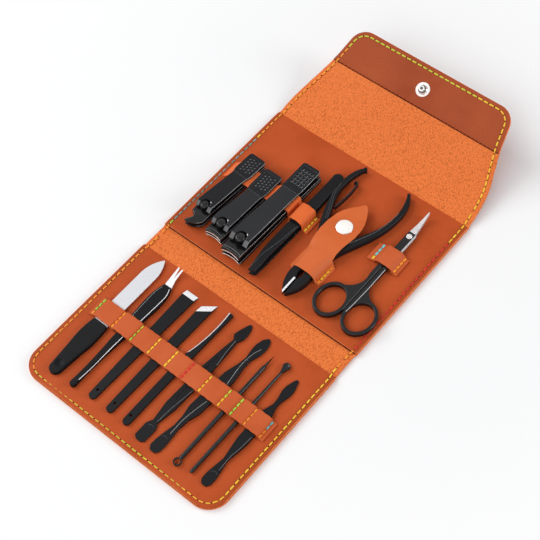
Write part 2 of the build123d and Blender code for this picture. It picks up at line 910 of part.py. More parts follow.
# ---------------------------------------------------------------- nail clippers
def clipper(size):
    """Nail clipper lying with its lever folded back over the arms.

    It is drawn with its cutting edge at zero and its length along Y, then set in its place.
    """
    name, placing = size.name, size.placing()
    length, width, strip = size.length, size.width, size.strip
    nose, edge_low, face = size.nose, size.edge_low, size.face
    post_at, hinge_at, arm_top = size.post_at, size.hinge_at(), size.arm_top
    edge_up = edge_low + size.gap
    under = strip + arm_gap
    side = side_plane(0, 0, 0)
    skewed = name == "small"

    def plan_outline():
        """Outline of both arms seen from above."""
        half = width / 2
        if skewed:
            Line((half, length), (half, 6.0))
            ThreePointArc((half, 6.0), (half - 3.4, 2.0), (-half * 0.8, 0))
            Line((-half * 0.8, 0), (-half * 0.62, 2.8))
            ThreePointArc((-half * 0.62, 2.8), (-half * 0.4, 5.6), (-half, 8.4))
            Line((-half, 8.4), (-half, length))
        else:
            Line((half, length), (half, 0))
            ThreePointArc((half, 0), (0, 1.3), (-half, 0))
            Line((-half, 0), (-half, length))
        Line((-half, length), (half, length))

    post_r = 1.7
    post_foot_r = 2.6
    hole_r = post_r + 0.35
    with BuildPart() as lower_arm:
        with BuildSketch(side):
            with BuildLine():
                if skewed:
                    Polyline(
                        (length, strip),
                        (length, 0),
                        (nose + 4, 0),
                        (nose, edge_low - face),
                        (0, edge_low - face),
                        (0, edge_low),
                        (nose - 1, edge_low),
                        (nose + 3, strip),
                        close=True,
                    )
                else:
                    Line((0, edge_low), (nose, strip))
                    Line((nose, strip), (length, strip))
                    Line((length, strip), (length, 0))
                    Line((length, 0), (nose, 0))
                    ThreePointArc((nose, 0), (nose * 0.3, 0.5), (0, edge_low - face))
                    Line((0, edge_low - face), (0, edge_low))
            make_face()
        extrude(amount=width / 2 + 1, both=True)
        with BuildSketch(Plane.XY):
            with BuildLine():
                plan_outline()
            make_face()
        extrude(amount=20, mode=Mode.INTERSECT)
        with Locations((0, post_at, strip)):
            Hole(radius=hole_r)
        with Locations((0, hinge_at, strip)):
            Hole(radius=rivet_r + 0.15)
        with BuildSketch(Plane.XY):
            with Locations((0, post_at)):
                Circle(post_foot_r + 0.3)
        extrude(amount=1.0, mode=Mode.SUBTRACT)
    save(placing * lower_arm.part, name + "_lower_arm")

    with BuildPart() as upper_arm:
        with BuildSketch(side):
            with BuildLine():
                Line((length, under), (hinge_at, under))
                Line((length, under), (length, under + strip))
                Line((length, under + strip), (hinge_at, under + strip))
                Line((hinge_at, under), (nose, arm_top(nose) - strip))
                if skewed:
                    Line((nose, arm_top(nose) - strip), (nose - 2, edge_up))
                    Line((nose - 2, edge_up), (0, edge_up))
                    Line((0, edge_up), (0, edge_up + 1.5))
                    Line((0, edge_up + 1.5), (nose - 2, edge_up + 1.5))
                    Line((nose - 2, edge_up + 1.5), (nose + 1, arm_top(nose + 1)))
                    Line((nose + 1, arm_top(nose + 1)), (hinge_at, under + strip))
                else:
                    roll = (edge_up + face + arm_top(2.4)) / 2 + 0.3
                    Line((nose, arm_top(nose) - strip), (0, edge_up))
                    Line((0, edge_up), (0, edge_up + face))
                    ThreePointArc((0, edge_up + face), (0.6, roll), (2.4, arm_top(2.4)))
                    Line((2.4, arm_top(2.4)), (hinge_at, under + strip))
            make_face()
        extrude(amount=width / 2 + 1, both=True)
        with BuildSketch(Plane.XY):
            with BuildLine():
                plan_outline()
            make_face()
        extrude(amount=20, mode=Mode.INTERSECT)
        with Locations((0, post_at, 15)):
            Hole(radius=hole_r, depth=30)
        with Locations((0, hinge_at, 15)):
            Hole(radius=rivet_r, depth=30)
    save(placing * upper_arm.part, name + "_upper_arm")

    with BuildPart() as rivet:
        with Locations((0, hinge_at, 0.2)):
            Cylinder(rivet_r, under + strip, align=(Align.CENTER, Align.CENTER, Align.MIN))
        with Locations((0, hinge_at, under + strip + pivot_clear)):
            Cylinder(1.9, rivet_head - pivot_clear, align=(Align.CENTER, Align.CENTER, Align.MIN))
        fillet(rivet.edges().group_by(Axis.Z)[-1], radius=0.4)
    save(placing * rivet.part, name + "_rivet")

    pin_z = arm_top(post_at) + size.pin_rise
    reach = size.pin_rise - lever_clear
    head_r = size.lever_width * 0.24
    head_low = pin_z - 1.9
    with BuildPart() as post:
        with BuildSketch(side_plane(0, post_at, 0)):
            with BuildLine():
                Polyline(
                    (0, pin_z + 1.1),
                    (0, 0.1),
                    (post_foot_r, 0.1),
                    (post_foot_r, 0.8),
                    (post_r, 0.8),
                    (post_r, head_low),
                    (head_r, head_low + 0.8),
                    (head_r, pin_z + 0.2),
                )
                ThreePointArc(
                    (head_r, pin_z + 0.2),
                    (head_r * 0.86, pin_z + 1.1),
                    (head_r * 0.5, pin_z + 1.5),
                )
                Line((head_r * 0.5, pin_z + 1.5), (head_r * 0.4, pin_z + 1.1))
                Line((head_r * 0.4, pin_z + 1.1), (0, pin_z + 1.1))
            make_face()
        revolve(axis=Axis((0, post_at, 0), (0, 0, 1)))
        with BuildSketch(side_plane(0, post_at, pin_z)):
            Circle(pin_r)
        extrude(amount=head_r + 0.9, both=True)
    save(placing * post.part, name + "_post")

    lever_t, slot_r = size.lever_t, head_r + 0.25
    rear = size.lever_end - post_at
    pad_at = size.pad_start - post_at
    knuckle_top = 1.3
    rest = size.strap_rise() + strap_clear + strap_t + strap_clear - pin_z
    slope = (knuckle_top - rest - lever_t) / pad_at
    plate_start = slot_r + 1.2
    plate_low = knuckle_top - plate_start * slope - lever_t

    def on_prong(turn):
        return (-reach * cos(radians(turn)), -reach * sin(radians(turn)))

    plan = Plane(origin=(0, post_at, 0), x_dir=(1, 0, 0), z_dir=(0, 0, 1))
    with BuildPart() as handle:
        with BuildSketch(side_plane(0, post_at, pin_z)):
            with BuildLine():
                ThreePointArc(on_prong(28), on_prong(40), on_prong(52))
                Polyline(
                    on_prong(52),
                    (0, -1.1),
                    (plate_start, plate_low),
                    (pad_at, rest),
                    (rear - 1, rest),
                    (rear, rest + 0.8),
                    (rear, rest + lever_t),
                    (pad_at, rest + lever_t),
                    (0.2, knuckle_top),
                    on_prong(28),
                )
            make_face()
        extrude(amount=size.lever_width, both=True)
        with BuildSketch(plan) as outline:
            with BuildLine():
                slim = size.lever_width / 2
                waist = size.waist_width / 2
                wide = size.pad_width / 2
                Polyline(
                    (-slim, -reach - 1),
                    (slim, -reach - 1),
                    (slim, pad_at * 0.25),
                    (waist, pad_at * 0.8),
                    (waist, pad_at - 1),
                    (wide, pad_at + 3),
                    (wide, rear),
                    (-wide, rear),
                    (-wide, pad_at + 3),
                    (-waist, pad_at - 1),
                    (-waist, pad_at * 0.8),
                    (-slim, pad_at * 0.25),
                    close=True,
                )
            make_face()
            fillet(outline.vertices().group_by(Axis.Y)[-1], radius=pad_corner)
        extrude(amount=30, mode=Mode.INTERSECT)
        with BuildSketch(plan):
            with Locations((0, -5)):
                Rectangle(2 * slot_r, 12.4)
            with Locations((0, 1.2)):
                Circle(slot_r)
        extrude(amount=30, mode=Mode.SUBTRACT)
        with BuildSketch(side_plane(0, post_at, pin_z)):
            Circle(pin_r + pivot_clear)
        extrude(amount=head_r + 1.1, both=True, mode=Mode.SUBTRACT)
        with BuildSketch(plan.offset(pin_z + rest + lever_t)):
            with Locations((0, (pad_at + rear) / 2)):
                RectangleRounded(size.pad_width - 2.6, rear - pad_at - 4.0, 1.0)
        extrude(amount=-0.3, mode=Mode.SUBTRACT)
    save(placing * handle.part, name + "_lever")


for clipper_size in (small_clipper, medium_clipper, large_clipper):
    clipper(clipper_size)


def clipper_bay(size):
    """Bay of the strap that lies between the arms and the lever of a clipper."""
    lean = radians(size.lean)
    middle = size.x + (clipper_strap_y - size.front) * tan(lean)
    return bay(middle, size.width + clipper_strap_width * sin(lean), size.strap_rise())


clipper_bays = [clipper_bay(size) for size in (small_clipper, medium_clipper, large_clipper)]
save(
    strap(
        clipper_strap_y,
        clipper_strap_width,
        clipper_strap_left,
        clipper_strap_right,
        clipper_bays,
    ),
    "clipper_strap",
)

# ---------------------------------------------------------------- tweezers
tweezer_length = tweezer_end - tweezer_tip
tweezer_tip_x = tweezer_x + (tweezer_tip - loop_y) * tan(radians(tweezer_lean))
tweezer_hinge = tweezer_length - 9.0
tweezer_under = tweezer_leaf_t + arm_gap
tweezer_slope = tan(radians(tweezer_spread))
tweezer_bow = tweezer_under + (tweezer_hinge - 14) * tweezer_slope


def tweezer_leaf(name, outline):
    """Leaf with the given side outline, cut to its plan with a slanted tip."""
    half = tweezer_width / 2
    turn = lean_plane(tweezer_tip_x, tweezer_tip, tool_bed, tweezer_lean)
    with BuildPart() as leaf:
        with BuildSketch(Plane(origin=turn.origin, x_dir=turn.y_dir, z_dir=turn.x_dir)):
            with BuildLine():
                Polyline(*outline, close=True)
            make_face()
        extrude(amount=half + 1, both=True)
        with BuildSketch(turn):
            with BuildLine():
                Line((-1.6, 0), (2.6, 1.6))
                Spline((2.6, 1.6), (half - 0.6, 16.0), (half, 34.0), (half, tweezer_length - 3))
                ThreePointArc((half, tweezer_length - 3), (0, tweezer_length), (-half, tweezer_length - 3))
                Spline((-half, tweezer_length - 3), (-half, 34.0), (-half + 0.6, 16.0), (-1.6, 0))
            make_face()
        extrude(amount=15, mode=Mode.INTERSECT)
    save(leaf.part, name)


tweezer_leaf(
    "tweezer_lower_leaf",
    [
        (0, tweezer_leaf_t + 0.3),
        (0, tweezer_leaf_t + 1.0),
        (14, tweezer_leaf_t),
        (tweezer_length, tweezer_leaf_t),
        (tweezer_length, 0),
        (12, 0),
    ],
)
tweezer_leaf(
    "tweezer_upper_leaf",
    [
        (0, tweezer_leaf_t + 1.0 + tweezer_gap),
        (14, tweezer_bow),
        (tweezer_hinge, tweezer_under),
        (tweezer_length, tweezer_under),
        (tweezer_length, tweezer_under + tweezer_leaf_t),
        (tweezer_hinge, tweezer_under + tweezer_leaf_t),
        (16, tweezer_bow + tweezer_leaf_t - 2 * tweezer_slope),
        (0, tweezer_leaf_t + 1.7 + tweezer_gap),
    ],
)

loop_place = loop_y - loop_width / 2 - tweezer_tip
loop_height = tweezer_under + (tweezer_hinge - loop_place) * tweezer_slope + tweezer_leaf_t
save(
    strap(loop_y, loop_width, loop_left, loop_right, [bay(tweezer_x, tweezer_width + 0.6, loop_height)]),
    "tweezers_loop",
)

# ---------------------------------------------------------------- cuticle nipper
lap = nipper_t / 2
nipper_round = 1.0
nipper_long_edge = 30.0


def nipper_plane(side, height):
    """Plane of one half, turned about the pivot by half of the resting opening.

    In it the half's own handle lies at positive X and its jaw at negative X.
    """
    turn = radians(nipper_open / 2)
    return Plane(
        origin=(nipper_x, nipper_pivot_y, tool_bed + height),
        x_dir=(side * cos(turn), -sin(turn), 0),
        z_dir=(0, 0, side),
    )


with BuildPart() as nipper_side:
    with BuildSketch(side_plane(nipper_x, nipper_pivot_y, tool_bed)):
        with BuildLine():
            Polyline(
                (-32, 1.4),
                (-32, 4.3),
                (-20, 5.4),
                (-10, nipper_t),
                (9, nipper_t),
                (14, nipper_handle_top),
                (77, nipper_handle_top - 0.4),
                (77, 0.8),
                (14, 0.4),
                (9, 0),
                (-14, 0),
                close=True,
            )
        make_face()
    extrude(amount=40, both=True)


def nipper_half(name, side, lap_start, cut_start):
    """Half with its handle on the given side and its jaw on the other one."""
    base = 0 if side > 0 else nipper_t
    plane = nipper_plane(side, base)
    if side < 0:
        lap_start = nipper_t - lap_start - (lap - 0.05)
        cut_start = nipper_t - cut_start - (lap + 0.05)
    with BuildPart() as handle:
        with BuildSketch(plane):
            with BuildLine():
                Spline(
                    (6.5, 2.2),
                    (8.7, 9.6),
                    (19.8, 38.0),
                    (22.3, 53.0),
                    (21.4, 65.0),
                    (16.6, 74.4),
                )
                ThreePointArc((16.6, 74.4), (15.2, 74.9), (14.9, 73.0))
                Spline((14.9, 73.0), (18.2, 63.0), (18.7, 51.0), (12.6, 32.6), (1.0, 8.6))
                Line((1.0, 8.6), (0.5, 5.0))
                Line((0.5, 5.0), (6.5, 2.2))
            make_face()
        extrude(amount=nipper_t)
        add(nipper_side.part, mode=Mode.INTERSECT)
        fillet([edge for edge in handle.edges() if edge.length > nipper_long_edge], radius=nipper_round)
    with BuildPart() as half:
        with BuildSketch(plane):
            with BuildLine():
                Line((-0.08, -31.2), (-0.08, -18.5))
                Line((-0.08, -18.5), (-1.7, -15.0))
                Line((-1.7, -15.0), (-0.6, -5.0))
                Line((-0.6, -5.0), (-6.6, -2.6))
                Line((-6.6, -2.6), (-6.3, -12.0))
                ThreePointArc((-6.3, -12.0), (-5.0, -23.5), (-0.08, -31.2))
            make_face()
        extrude(amount=nipper_t)
        add(nipper_side.part, mode=Mode.INTERSECT)
        add(handle.part)
        with BuildSketch(plane.offset(cut_start)):
            Circle(nipper_lap_r + 0.15)
        extrude(amount=lap + 0.05, mode=Mode.SUBTRACT)
        with BuildSketch(plane.offset(lap_start)):
            Circle(nipper_lap_r)
        extrude(amount=lap - 0.05)
        with BuildSketch(plane):
            Circle(nipper_pin_r + (pivot_clear if side > 0 else 0))
        extrude(amount=nipper_t, mode=Mode.SUBTRACT)
    save(half.part, name)
    return half.part


nipper_half("nipper_left_half", -1, 0, lap - 0.05)
nipper_half("nipper_right_half", 1, lap + 0.05, 0)

with BuildPart() as nipper_rivet:
    with BuildSketch(Plane.XY.offset(tool_bed)):
        with Locations((nipper_x, nipper_pivot_y)):
            Circle(nipper_pin_r)
    extrude(amount=nipper_t + 0.1)
save(nipper_rivet.part, "nipper_rivet")

with BuildPart() as nipper_spring:
    with BuildSketch(nipper_plane(-1, 4.2)):
        with BuildLine():
            Spline((14.0, 38.6), (12.9, 46.0), (12.4, 54.0), (13.0, 61.0))
            ThreePointArc((13.0, 61.0), (14.0, 62.3), (15.0, 61.2))
        trace(line_width=0.6)
    extrude(amount=3.0)
save(nipper_spring.part, "nipper_spring")

# ---------------------------------------------------------------- nipper sheath and tongue
sheath_bay = bay(nipper_x, 2 * nipper_lap_r + 0.6, nipper_t)
save(
    strap(sheath_y, sheath_width, sheath_left, sheath_right, [sheath_bay]),
    "nipper_sheath",
)

tongue_level = sheath_bay[2] + strap_t / 2
tongue_hinge_y = sheath_y + sheath_width / 2 + 0.8
with BuildPart() as sheath_tongue:
    with BuildSketch(side_plane(nipper_x, 0, panel_top)):
        with BuildLine():
            FilletPolyline(
                (tongue_hinge_y + 0.3, tongue_level),
                (-7.0, tongue_level),
                (0.6, tongue_snap_level),
                (17.0, tongue_snap_level),
                (tongue_tip + 1, tongue_snap_level - 1.2),
                radius=12,
            )
        trace(line_width=strap_t)
    extrude(amount=20, both=True)
    with BuildSketch(Plane.XY):
        with BuildLine():
            Line((nipper_x - 8.6, tongue_hinge_y), (nipper_x + 9.5, tongue_hinge_y))
            Spline(
                (nipper_x + 9.5, tongue_hinge_y),
                (nipper_x + 9.2, -8.1),
                (nipper_x + 9.6, -2.3),
                (nipper_x + 10.7, 4.0),
                (nipper_x + 10.4, 11.5),
                (nipper_x + 8.8, 17.3),
                (nipper_x + 4.9, 25.2),
                (nipper_x + 1.6, tongue_tip - 0.3),
            )
            ThreePointArc(
                (nipper_x + 1.6, tongue_tip - 0.3),
                (nipper_x + 0.6, tongue_tip),
                (nipper_x - 0.5, tongue_tip - 0.4),
            )
            Spline(
                (nipper_x - 0.5, tongue_tip - 0.4),
                (nipper_x - 8.3, 15.4),
                (nipper_x - 10.9, 6.2),
                (nipper_x - 11.1, -3.2),
                (nipper_x - 10.0, -10.4),
                (nipper_x - 8.6, tongue_hinge_y),
            )
        make_face()
    extrude(amount=20, mode=Mode.INTERSECT)
    with Locations((snap_x, snap_y, 10)):
        Hole(radius=2.4, depth=20)
save(sheath_tongue.part, "sheath_tongue")

snap_z = panel_top + tongue_snap_level
with BuildPart() as tongue_cap:
    with BuildSketch(side_plane(snap_x, snap_y, snap_z)):
        with BuildLine():
            Line((0, cap_t + 0.5), (0, -0.7))
            Line((0, -0.7), (knob_r + socket_clear, -0.7))
            Line((knob_r + socket_clear, -0.7), (knob_r + socket_clear, -2.3))
            Line((knob_r + socket_clear, -2.3), (3.8, -2.3))
            Line((3.8, -2.3), (3.8, -0.6))
            Line((3.8, -0.6), (2.3, -0.6))
            Line((2.3, -0.6), (2.3, 0.6))
            Line((2.3, 0.6), (cap_r, 0.6))
            Line((cap_r, 0.6), (cap_r, 0.9))
            RadiusArc((cap_r, 0.9), (0, cap_t + 0.5), -dome_radius(cap_r, cap_t - 0.4))
        make_face()
    revolve(axis=Axis((snap_x, snap_y, snap_z), (0, 0, 1)))
save(tongue_cap.part, "tongue_cap")

snap_plane = Plane(origin=(snap_x, snap_y, panel_top))
snap_height = tongue_snap_level - 1.1
save(press_stud(snap_plane, snap_height), "sheath_stud")

# ---------------------------------------------------------------- scissors
ring_x = scissor_ring_half + 0.2
ring_front = scissor_ring_at + scissor_ring_long
plate = scissor_plate_width / 2
blade_root = 3.6
blade_half = 2.2


def scissor_half(name, side, blade_start):
    """Half whose ring lies on the given side, with its blade at the given height."""
    plane = Plane(
        origin=(scissor_x, scissor_pivot_y, tool_bed),
        x_dir=(side, 0, 0),
        z_dir=(0, 0, side),
    )
    shank_start = 0.3 if side > 0 else -0.3 - scissor_t
    blade_base = blade_start if side > 0 else -blade_start - scissor_blade_t
    with BuildPart() as half:
        with BuildSketch(plane.offset(shank_start)):
            with BuildLine():
                Line((0.2, scissor_shank_front), (0.2, scissor_ring_at))
                Line((0.2, scissor_ring_at), (ring_x, scissor_ring_at))
                Line((ring_x, scissor_ring_at), (ring_x, ring_front))
                ThreePointArc((ring_x, ring_front), (4.9, -47.3), (scissor_shank_half, -36.5))
                Line((scissor_shank_half, -36.5), (scissor_shank_half, scissor_shank_front))
                Line((scissor_shank_half, scissor_shank_front), (0.2, scissor_shank_front))
            make_face()
            with Locations((ring_x, scissor_ring_at)):
                Ellipse(scissor_ring_half, scissor_ring_long)
                Ellipse(
                    scissor_ring_half - scissor_wire,
                    scissor_ring_long - scissor_wire,
                    mode=Mode.SUBTRACT,
                )
        extrude(amount=scissor_t)
        with BuildSketch(plane.offset(blade_base)):
            with BuildLine():
                Polyline(
                    (plate, blade_root),
                    (plate, scissor_shank_front - 0.8),
                    (0.2, scissor_shank_front - 0.8),
                    (0.2, scissor_shank_front + 0.8),
                    (-plate, scissor_shank_front + 1.0),
                    (-plate, blade_root),
                    close=True,
                )
            make_face()
        extrude(amount=scissor_blade_t)
        with BuildSketch(side_plane(scissor_x, scissor_pivot_y, tool_bed + blade_start)):
            with BuildLine():
                Line((blade_root, 0), (blade_root, scissor_blade_t))
                ThreePointArc(
                    (blade_root, scissor_blade_t),
                    (13.0, scissor_blade_t + 0.6),
                    (scissor_blade_length, scissor_blade_t + 2.4),
                )
                Line(
                    (scissor_blade_length, scissor_blade_t + 2.4),
                    (scissor_blade_length, 2.4),
                )
                ThreePointArc((scissor_blade_length, 2.4), (13.0, 0.6), (blade_root, 0))
            make_face()
        extrude(amount=2.4, both=True)
    return half, plane


def finish_scissor_half(name, side, blade_start):
    half, plane = scissor_half(name, side, blade_start)
    with BuildPart() as trimmed:
        add(half.part)
        with BuildSketch(Plane(origin=(scissor_x, scissor_pivot_y, tool_bed - 1))):
            for edge in (-1, 1):
                with BuildLine():
                    Polyline(
                        (edge * blade_half, blade_root),
                        (edge * 4.0, blade_root),
                        (edge * 4.0, scissor_blade_length + 1),
                        (edge * 0.1, scissor_blade_length + 1),
                        (edge * 0.3, scissor_blade_length - 0.2),
                        close=True,
                    )
                make_face()
        extrude(amount=20, mode=Mode.SUBTRACT)
        with Locations((scissor_x, scissor_pivot_y, tool_bed + 10)):
            Hole(radius=scissor_pin_r + pivot_clear, depth=20)
    save(trimmed.part, name)


blade_low = 0.5
blade_gap = 0.15
finish_scissor_half("scissor_left_half", -1, blade_low)
finish_scissor_half("scissor_right_half", 1, blade_low + scissor_blade_t + blade_gap)

screw_top = blade_low + 2 * scissor_blade_t + blade_gap
with BuildPart() as scissor_screw:
    with Locations((scissor_x, scissor_pivot_y, tool_bed + 0.1)):
        Cylinder(scissor_pin_r, screw_top - 0.1, align=(Align.CENTER, Align.CENTER, Align.MIN))
    with Locations((scissor_x, scissor_pivot_y, tool_bed + screw_top + 0.05)):
        Cylinder(1.9, 0.7, align=(Align.CENTER, Align.CENTER, Align.MIN))
    with Locations((scissor_x, scissor_pivot_y, tool_bed + screw_top)):
        Cylinder(scissor_pin_r, 0.2, align=(Align.CENTER, Align.CENTER, Align.MIN))
    with Locations((scissor_x, scissor_pivot_y, tool_bed + screw_top + 0.75)):
        Box(5, 0.6, 0.6, mode=Mode.SUBTRACT)
save(scissor_screw.part, "scissor_screw")

shank_spread = 2 * (scissor_shank_half + 27 * sin(radians(scissor_open)))
save(
    strap(
        scissor_strap_y,
        scissor_strap_width,
        scissor_strap_left,
        scissor_strap_right,
        [bay(scissor_x, shank_spread, scissor_t + 0.3)],
    ),
    "scissors_strap",
)
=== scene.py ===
import json
from math import cos, pi, radians, sin, tan

import bmesh
import bpy
from mathutils import Matrix, Vector
from mathutils.bvhtree import BVHTree


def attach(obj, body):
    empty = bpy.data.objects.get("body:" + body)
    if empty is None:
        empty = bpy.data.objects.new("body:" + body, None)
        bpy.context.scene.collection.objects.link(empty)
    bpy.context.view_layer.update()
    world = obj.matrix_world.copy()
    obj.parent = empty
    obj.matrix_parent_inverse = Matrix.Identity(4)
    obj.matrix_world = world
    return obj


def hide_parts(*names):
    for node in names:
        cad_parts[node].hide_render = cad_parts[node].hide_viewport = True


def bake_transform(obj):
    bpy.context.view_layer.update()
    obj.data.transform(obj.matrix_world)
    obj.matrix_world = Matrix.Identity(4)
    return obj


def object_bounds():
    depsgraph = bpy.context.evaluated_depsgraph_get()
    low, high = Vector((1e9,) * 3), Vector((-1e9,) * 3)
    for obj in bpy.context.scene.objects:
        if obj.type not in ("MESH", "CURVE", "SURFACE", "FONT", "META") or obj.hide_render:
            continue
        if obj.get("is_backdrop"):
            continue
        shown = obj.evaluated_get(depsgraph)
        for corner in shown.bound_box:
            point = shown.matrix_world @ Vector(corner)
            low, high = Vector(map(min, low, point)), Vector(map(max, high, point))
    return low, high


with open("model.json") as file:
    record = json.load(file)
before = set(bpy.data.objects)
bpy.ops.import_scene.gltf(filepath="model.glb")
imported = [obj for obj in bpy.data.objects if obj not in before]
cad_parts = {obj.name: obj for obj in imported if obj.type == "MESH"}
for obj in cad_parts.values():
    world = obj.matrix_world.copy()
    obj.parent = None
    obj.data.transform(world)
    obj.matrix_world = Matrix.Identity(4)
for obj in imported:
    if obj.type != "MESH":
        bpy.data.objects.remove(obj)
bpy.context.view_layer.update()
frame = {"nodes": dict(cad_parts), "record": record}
nodes = frame["nodes"]
body_of_node = {n: body for body, members in frame["record"]["behaviour"]["bodies"].items() for n in members}
slot_of_node = {part["node"]: part["material_slot"] for part in frame["record"]["subparts"]}

MM = 0.001

# ---------------------------------------------------------------- case sizes, in mm
FREE_EDGE = -188.0
CREASE_1 = -76.4
CREASE_2 = -57.6
CREASE_3 = 57.6
CREASE_4 = CREASE_3 + 26.5
FLAP_END = CREASE_4 + 50.8
CASE_HALF = 77.5
SPINE_HALF = 76.8
FLAP_HALF = 61.0
LEVEL = 1.8
PANEL_TOP = 2.6
LINER_T = 0.8
LOWER_CORNER = 14.0
FLAP_CORNER = 12.0
FACING_START = CREASE_4 + 23.5
STUD_AT = CREASE_4 + 35.0
STRAP_T = 1.0
FLAT = STRAP_T / 2
STITCH_INSET = 3.1
STITCH_PITCH = 4.3
SEAM_GAP = 0.6
SEAM_TAPER = 3.0
SEAM_THINNING = 0.62
LOW_SPINE_RISE, TOP_SPINE_RISE = 0.62, 0.24
DIP_REACH = 2.6


# ---------------------------------------------------------------- colours and materials
BLACK, WHITE = (0, 0, 0, 1), (1, 1, 1, 1)


def srgb(code):
    """Linear colour of a six-figure display colour."""
    parts = [int(code[i:i + 2], 16) / 255 for i in (0, 2, 4)]
    return tuple(c / 12.92 if c <= 0.04045 else ((c + 0.055) / 1.055) ** 2.4 for c in parts) + (1.0,)


class Nodes:
    """A node tree with short ways to add to it."""

    def __init__(self, tree):
        self.tree = tree

    def feed(self, value, socket):
        """Sets a socket to a plain value, or links it to another node's output."""
        if isinstance(value, bpy.types.NodeSocket):
            self.tree.links.new(value, socket)
        else:
            socket.default_value = value

    def add(self, kind, inputs=None, **settings):
        node = self.tree.nodes.new(kind)
        for key, value in settings.items():
            setattr(node, key, value)
        for key, value in (inputs or {}).items():
            self.feed(value, node.inputs[key])
        return node

    def maths(self, operation, a, b):
        return self.add("ShaderNodeMath", {0: a, 1: b}, operation=operation).outputs[0]

    def background_rays(self):
        """1 for the rays that show a background: straight ones, mirrored ones and those through glass."""
        rays = self.add("ShaderNodeLightPath").outputs
        seen = self.maths("MAXIMUM", rays["Is Camera Ray"], rays["Is Glossy Ray"])
        return self.maths("MAXIMUM", seen, rays["Is Transmission Ray"])

    def end_with(self, factor, first, second, end):
        """Feeds the tree's end with the mix of two shaders."""
        blend = self.add("ShaderNodeMixShader", {0: factor, 1: first.outputs[0], 2: second.outputs[0]})
        self.feed(blend.outputs[0], self.tree.nodes[end].inputs["Surface"])


class Shader(Nodes):
    """One procedural material under construction."""

    def __init__(self, name):
        self.material = bpy.data.materials.new(name)
        self.material.use_nodes = True
        super().__init__(self.material.node_tree)
        self.surface = self.tree.nodes["Principled BSDF"]
        self.place = self.add("ShaderNodeTexCoord").outputs["Object"]

    def stretched(self, scale):
        return self.add("ShaderNodeMapping", {"Scale": scale, "Vector": self.place}).outputs["Vector"]

    def noise(self, scale, detail=4.0, vector=None, rough=0.5):
        inputs = {"Scale": scale, "Detail": detail, "Roughness": rough, "Vector": vector or self.place}
        return self.add("ShaderNodeTexNoise", inputs).outputs["Fac"]

    def cells(self, size_mm, vector):
        inputs = {"Scale": 1 / (size_mm * MM), "Smoothness": 0.6, "Vector": vector}
        return self.add("ShaderNodeTexVoronoi", inputs, feature="SMOOTH_F1").outputs["Distance"]

    def warped(self, amount, scale, vector=None):
        """Coordinates pushed about by a noise, so that cells don't look regular."""
        source = vector or self.place
        push = self.add("ShaderNodeTexNoise", {"Scale": scale, "Vector": source}).outputs["Color"]
        inputs = {0: push, 1: (amount, amount, amount), 2: source}
        return self.add("ShaderNodeVectorMath", inputs, operation="MULTIPLY_ADD").outputs[0]

    def ramp(self, factor, *stops):
        node = self.add("ShaderNodeValToRGB", {"Fac": factor})
        elements = node.color_ramp.elements
        while len(elements) < len(stops):
            elements.new(0.5)
        for element, (place, color) in zip(elements, stops):
            element.position, element.color = place, color
        return node.outputs["Color"]

    def mix(self, factor, a, b, blend="MIX"):
        inputs = {0: factor, 6: a, 7: b}
        return self.add("ShaderNodeMix", inputs, data_type="RGBA", blend_type=blend).outputs[2]

    def set(self, **values):
        """Feeds the surface's inputs, whose names have underscores for their spaces here."""
        for key, value in values.items():
            self.feed(value, self.surface.inputs[key.replace("_", " ")])

    def finish(self, color, rough, height, strength, depth, **values):
        """Feeds the surface and hands over the material. Depth is the bump's, in metres."""
        bump = self.add("ShaderNodeBump", {"Strength": strength, "Distance": depth, "Height": height})
        self.set(Base_Color=color, Roughness=rough, Normal=bump.outputs["Normal"], **values)
        return self.material


def pebbled_leather(name, hues, size_mm, bump_mm, stretch):
    """Wrinkled leather: warped cells drawn out one way, with darker valleys between them."""
    light, mid, dark = map(srgb, hues.split())
    s = Shader(name)
    cell = s.cells(size_mm, s.warped(0.8 * size_mm * MM, 900.0, s.stretched(stretch)))
    height = s.maths("SUBTRACT", s.maths("MULTIPLY", s.noise(2600.0, 3.0), 0.35), cell)
    drift = s.ramp(s.noise(24.0, 3.0), (0.35, BLACK), (0.7, WHITE))
    tone = s.ramp(cell, (0.15, light), (0.45, mid), (0.72, dark))
    tone = s.mix(s.maths("MULTIPLY", drift, 0.22), tone, light)
    rough = s.maths("ADD", s.maths("MULTIPLY", cell, 0.2), 0.5)
    return s.finish(tone, rough, height, 0.7, bump_mm * MM, Specular_IOR_Level=0.1)


def smooth_leather(name, hues, grain_mm, bump_mm, gloss=0.44, border=None):
    """Fine-grained leather with a slow drift of tone. A border is the hue near the case's two sides."""
    light, mid, dark = map(srgb, hues.split())
    s = Shader(name)
    cell = s.cells(grain_mm, s.warped(0.6 * grain_mm * MM, 1500.0))
    fine = s.noise(5200.0, 2.0)
    tone = s.ramp(s.noise(26.0, 5.0, rough=0.6), (0.3, dark), (0.5, mid), (0.72, light))
    tone = s.mix(s.maths("MULTIPLY", cell, 0.5), tone, dark)
    if border:
        across = s.add("ShaderNodeSeparateXYZ", {0: s.place}).outputs["X"]
        decimetres = s.maths("MULTIPLY", s.maths("ABSOLUTE", across, 0.0), 10.0)
        tone = s.mix(s.ramp(decimetres, (0.71, BLACK), (0.75, WHITE)), tone, srgb(border))
    rough = s.maths("ADD", s.maths("MULTIPLY", fine, 0.16), gloss)
    height = s.maths("SUBTRACT", s.maths("MULTIPLY", fine, 0.4), cell)
    return s.finish(tone, rough, height, 0.6, bump_mm * MM, Specular_IOR_Level=0.11)


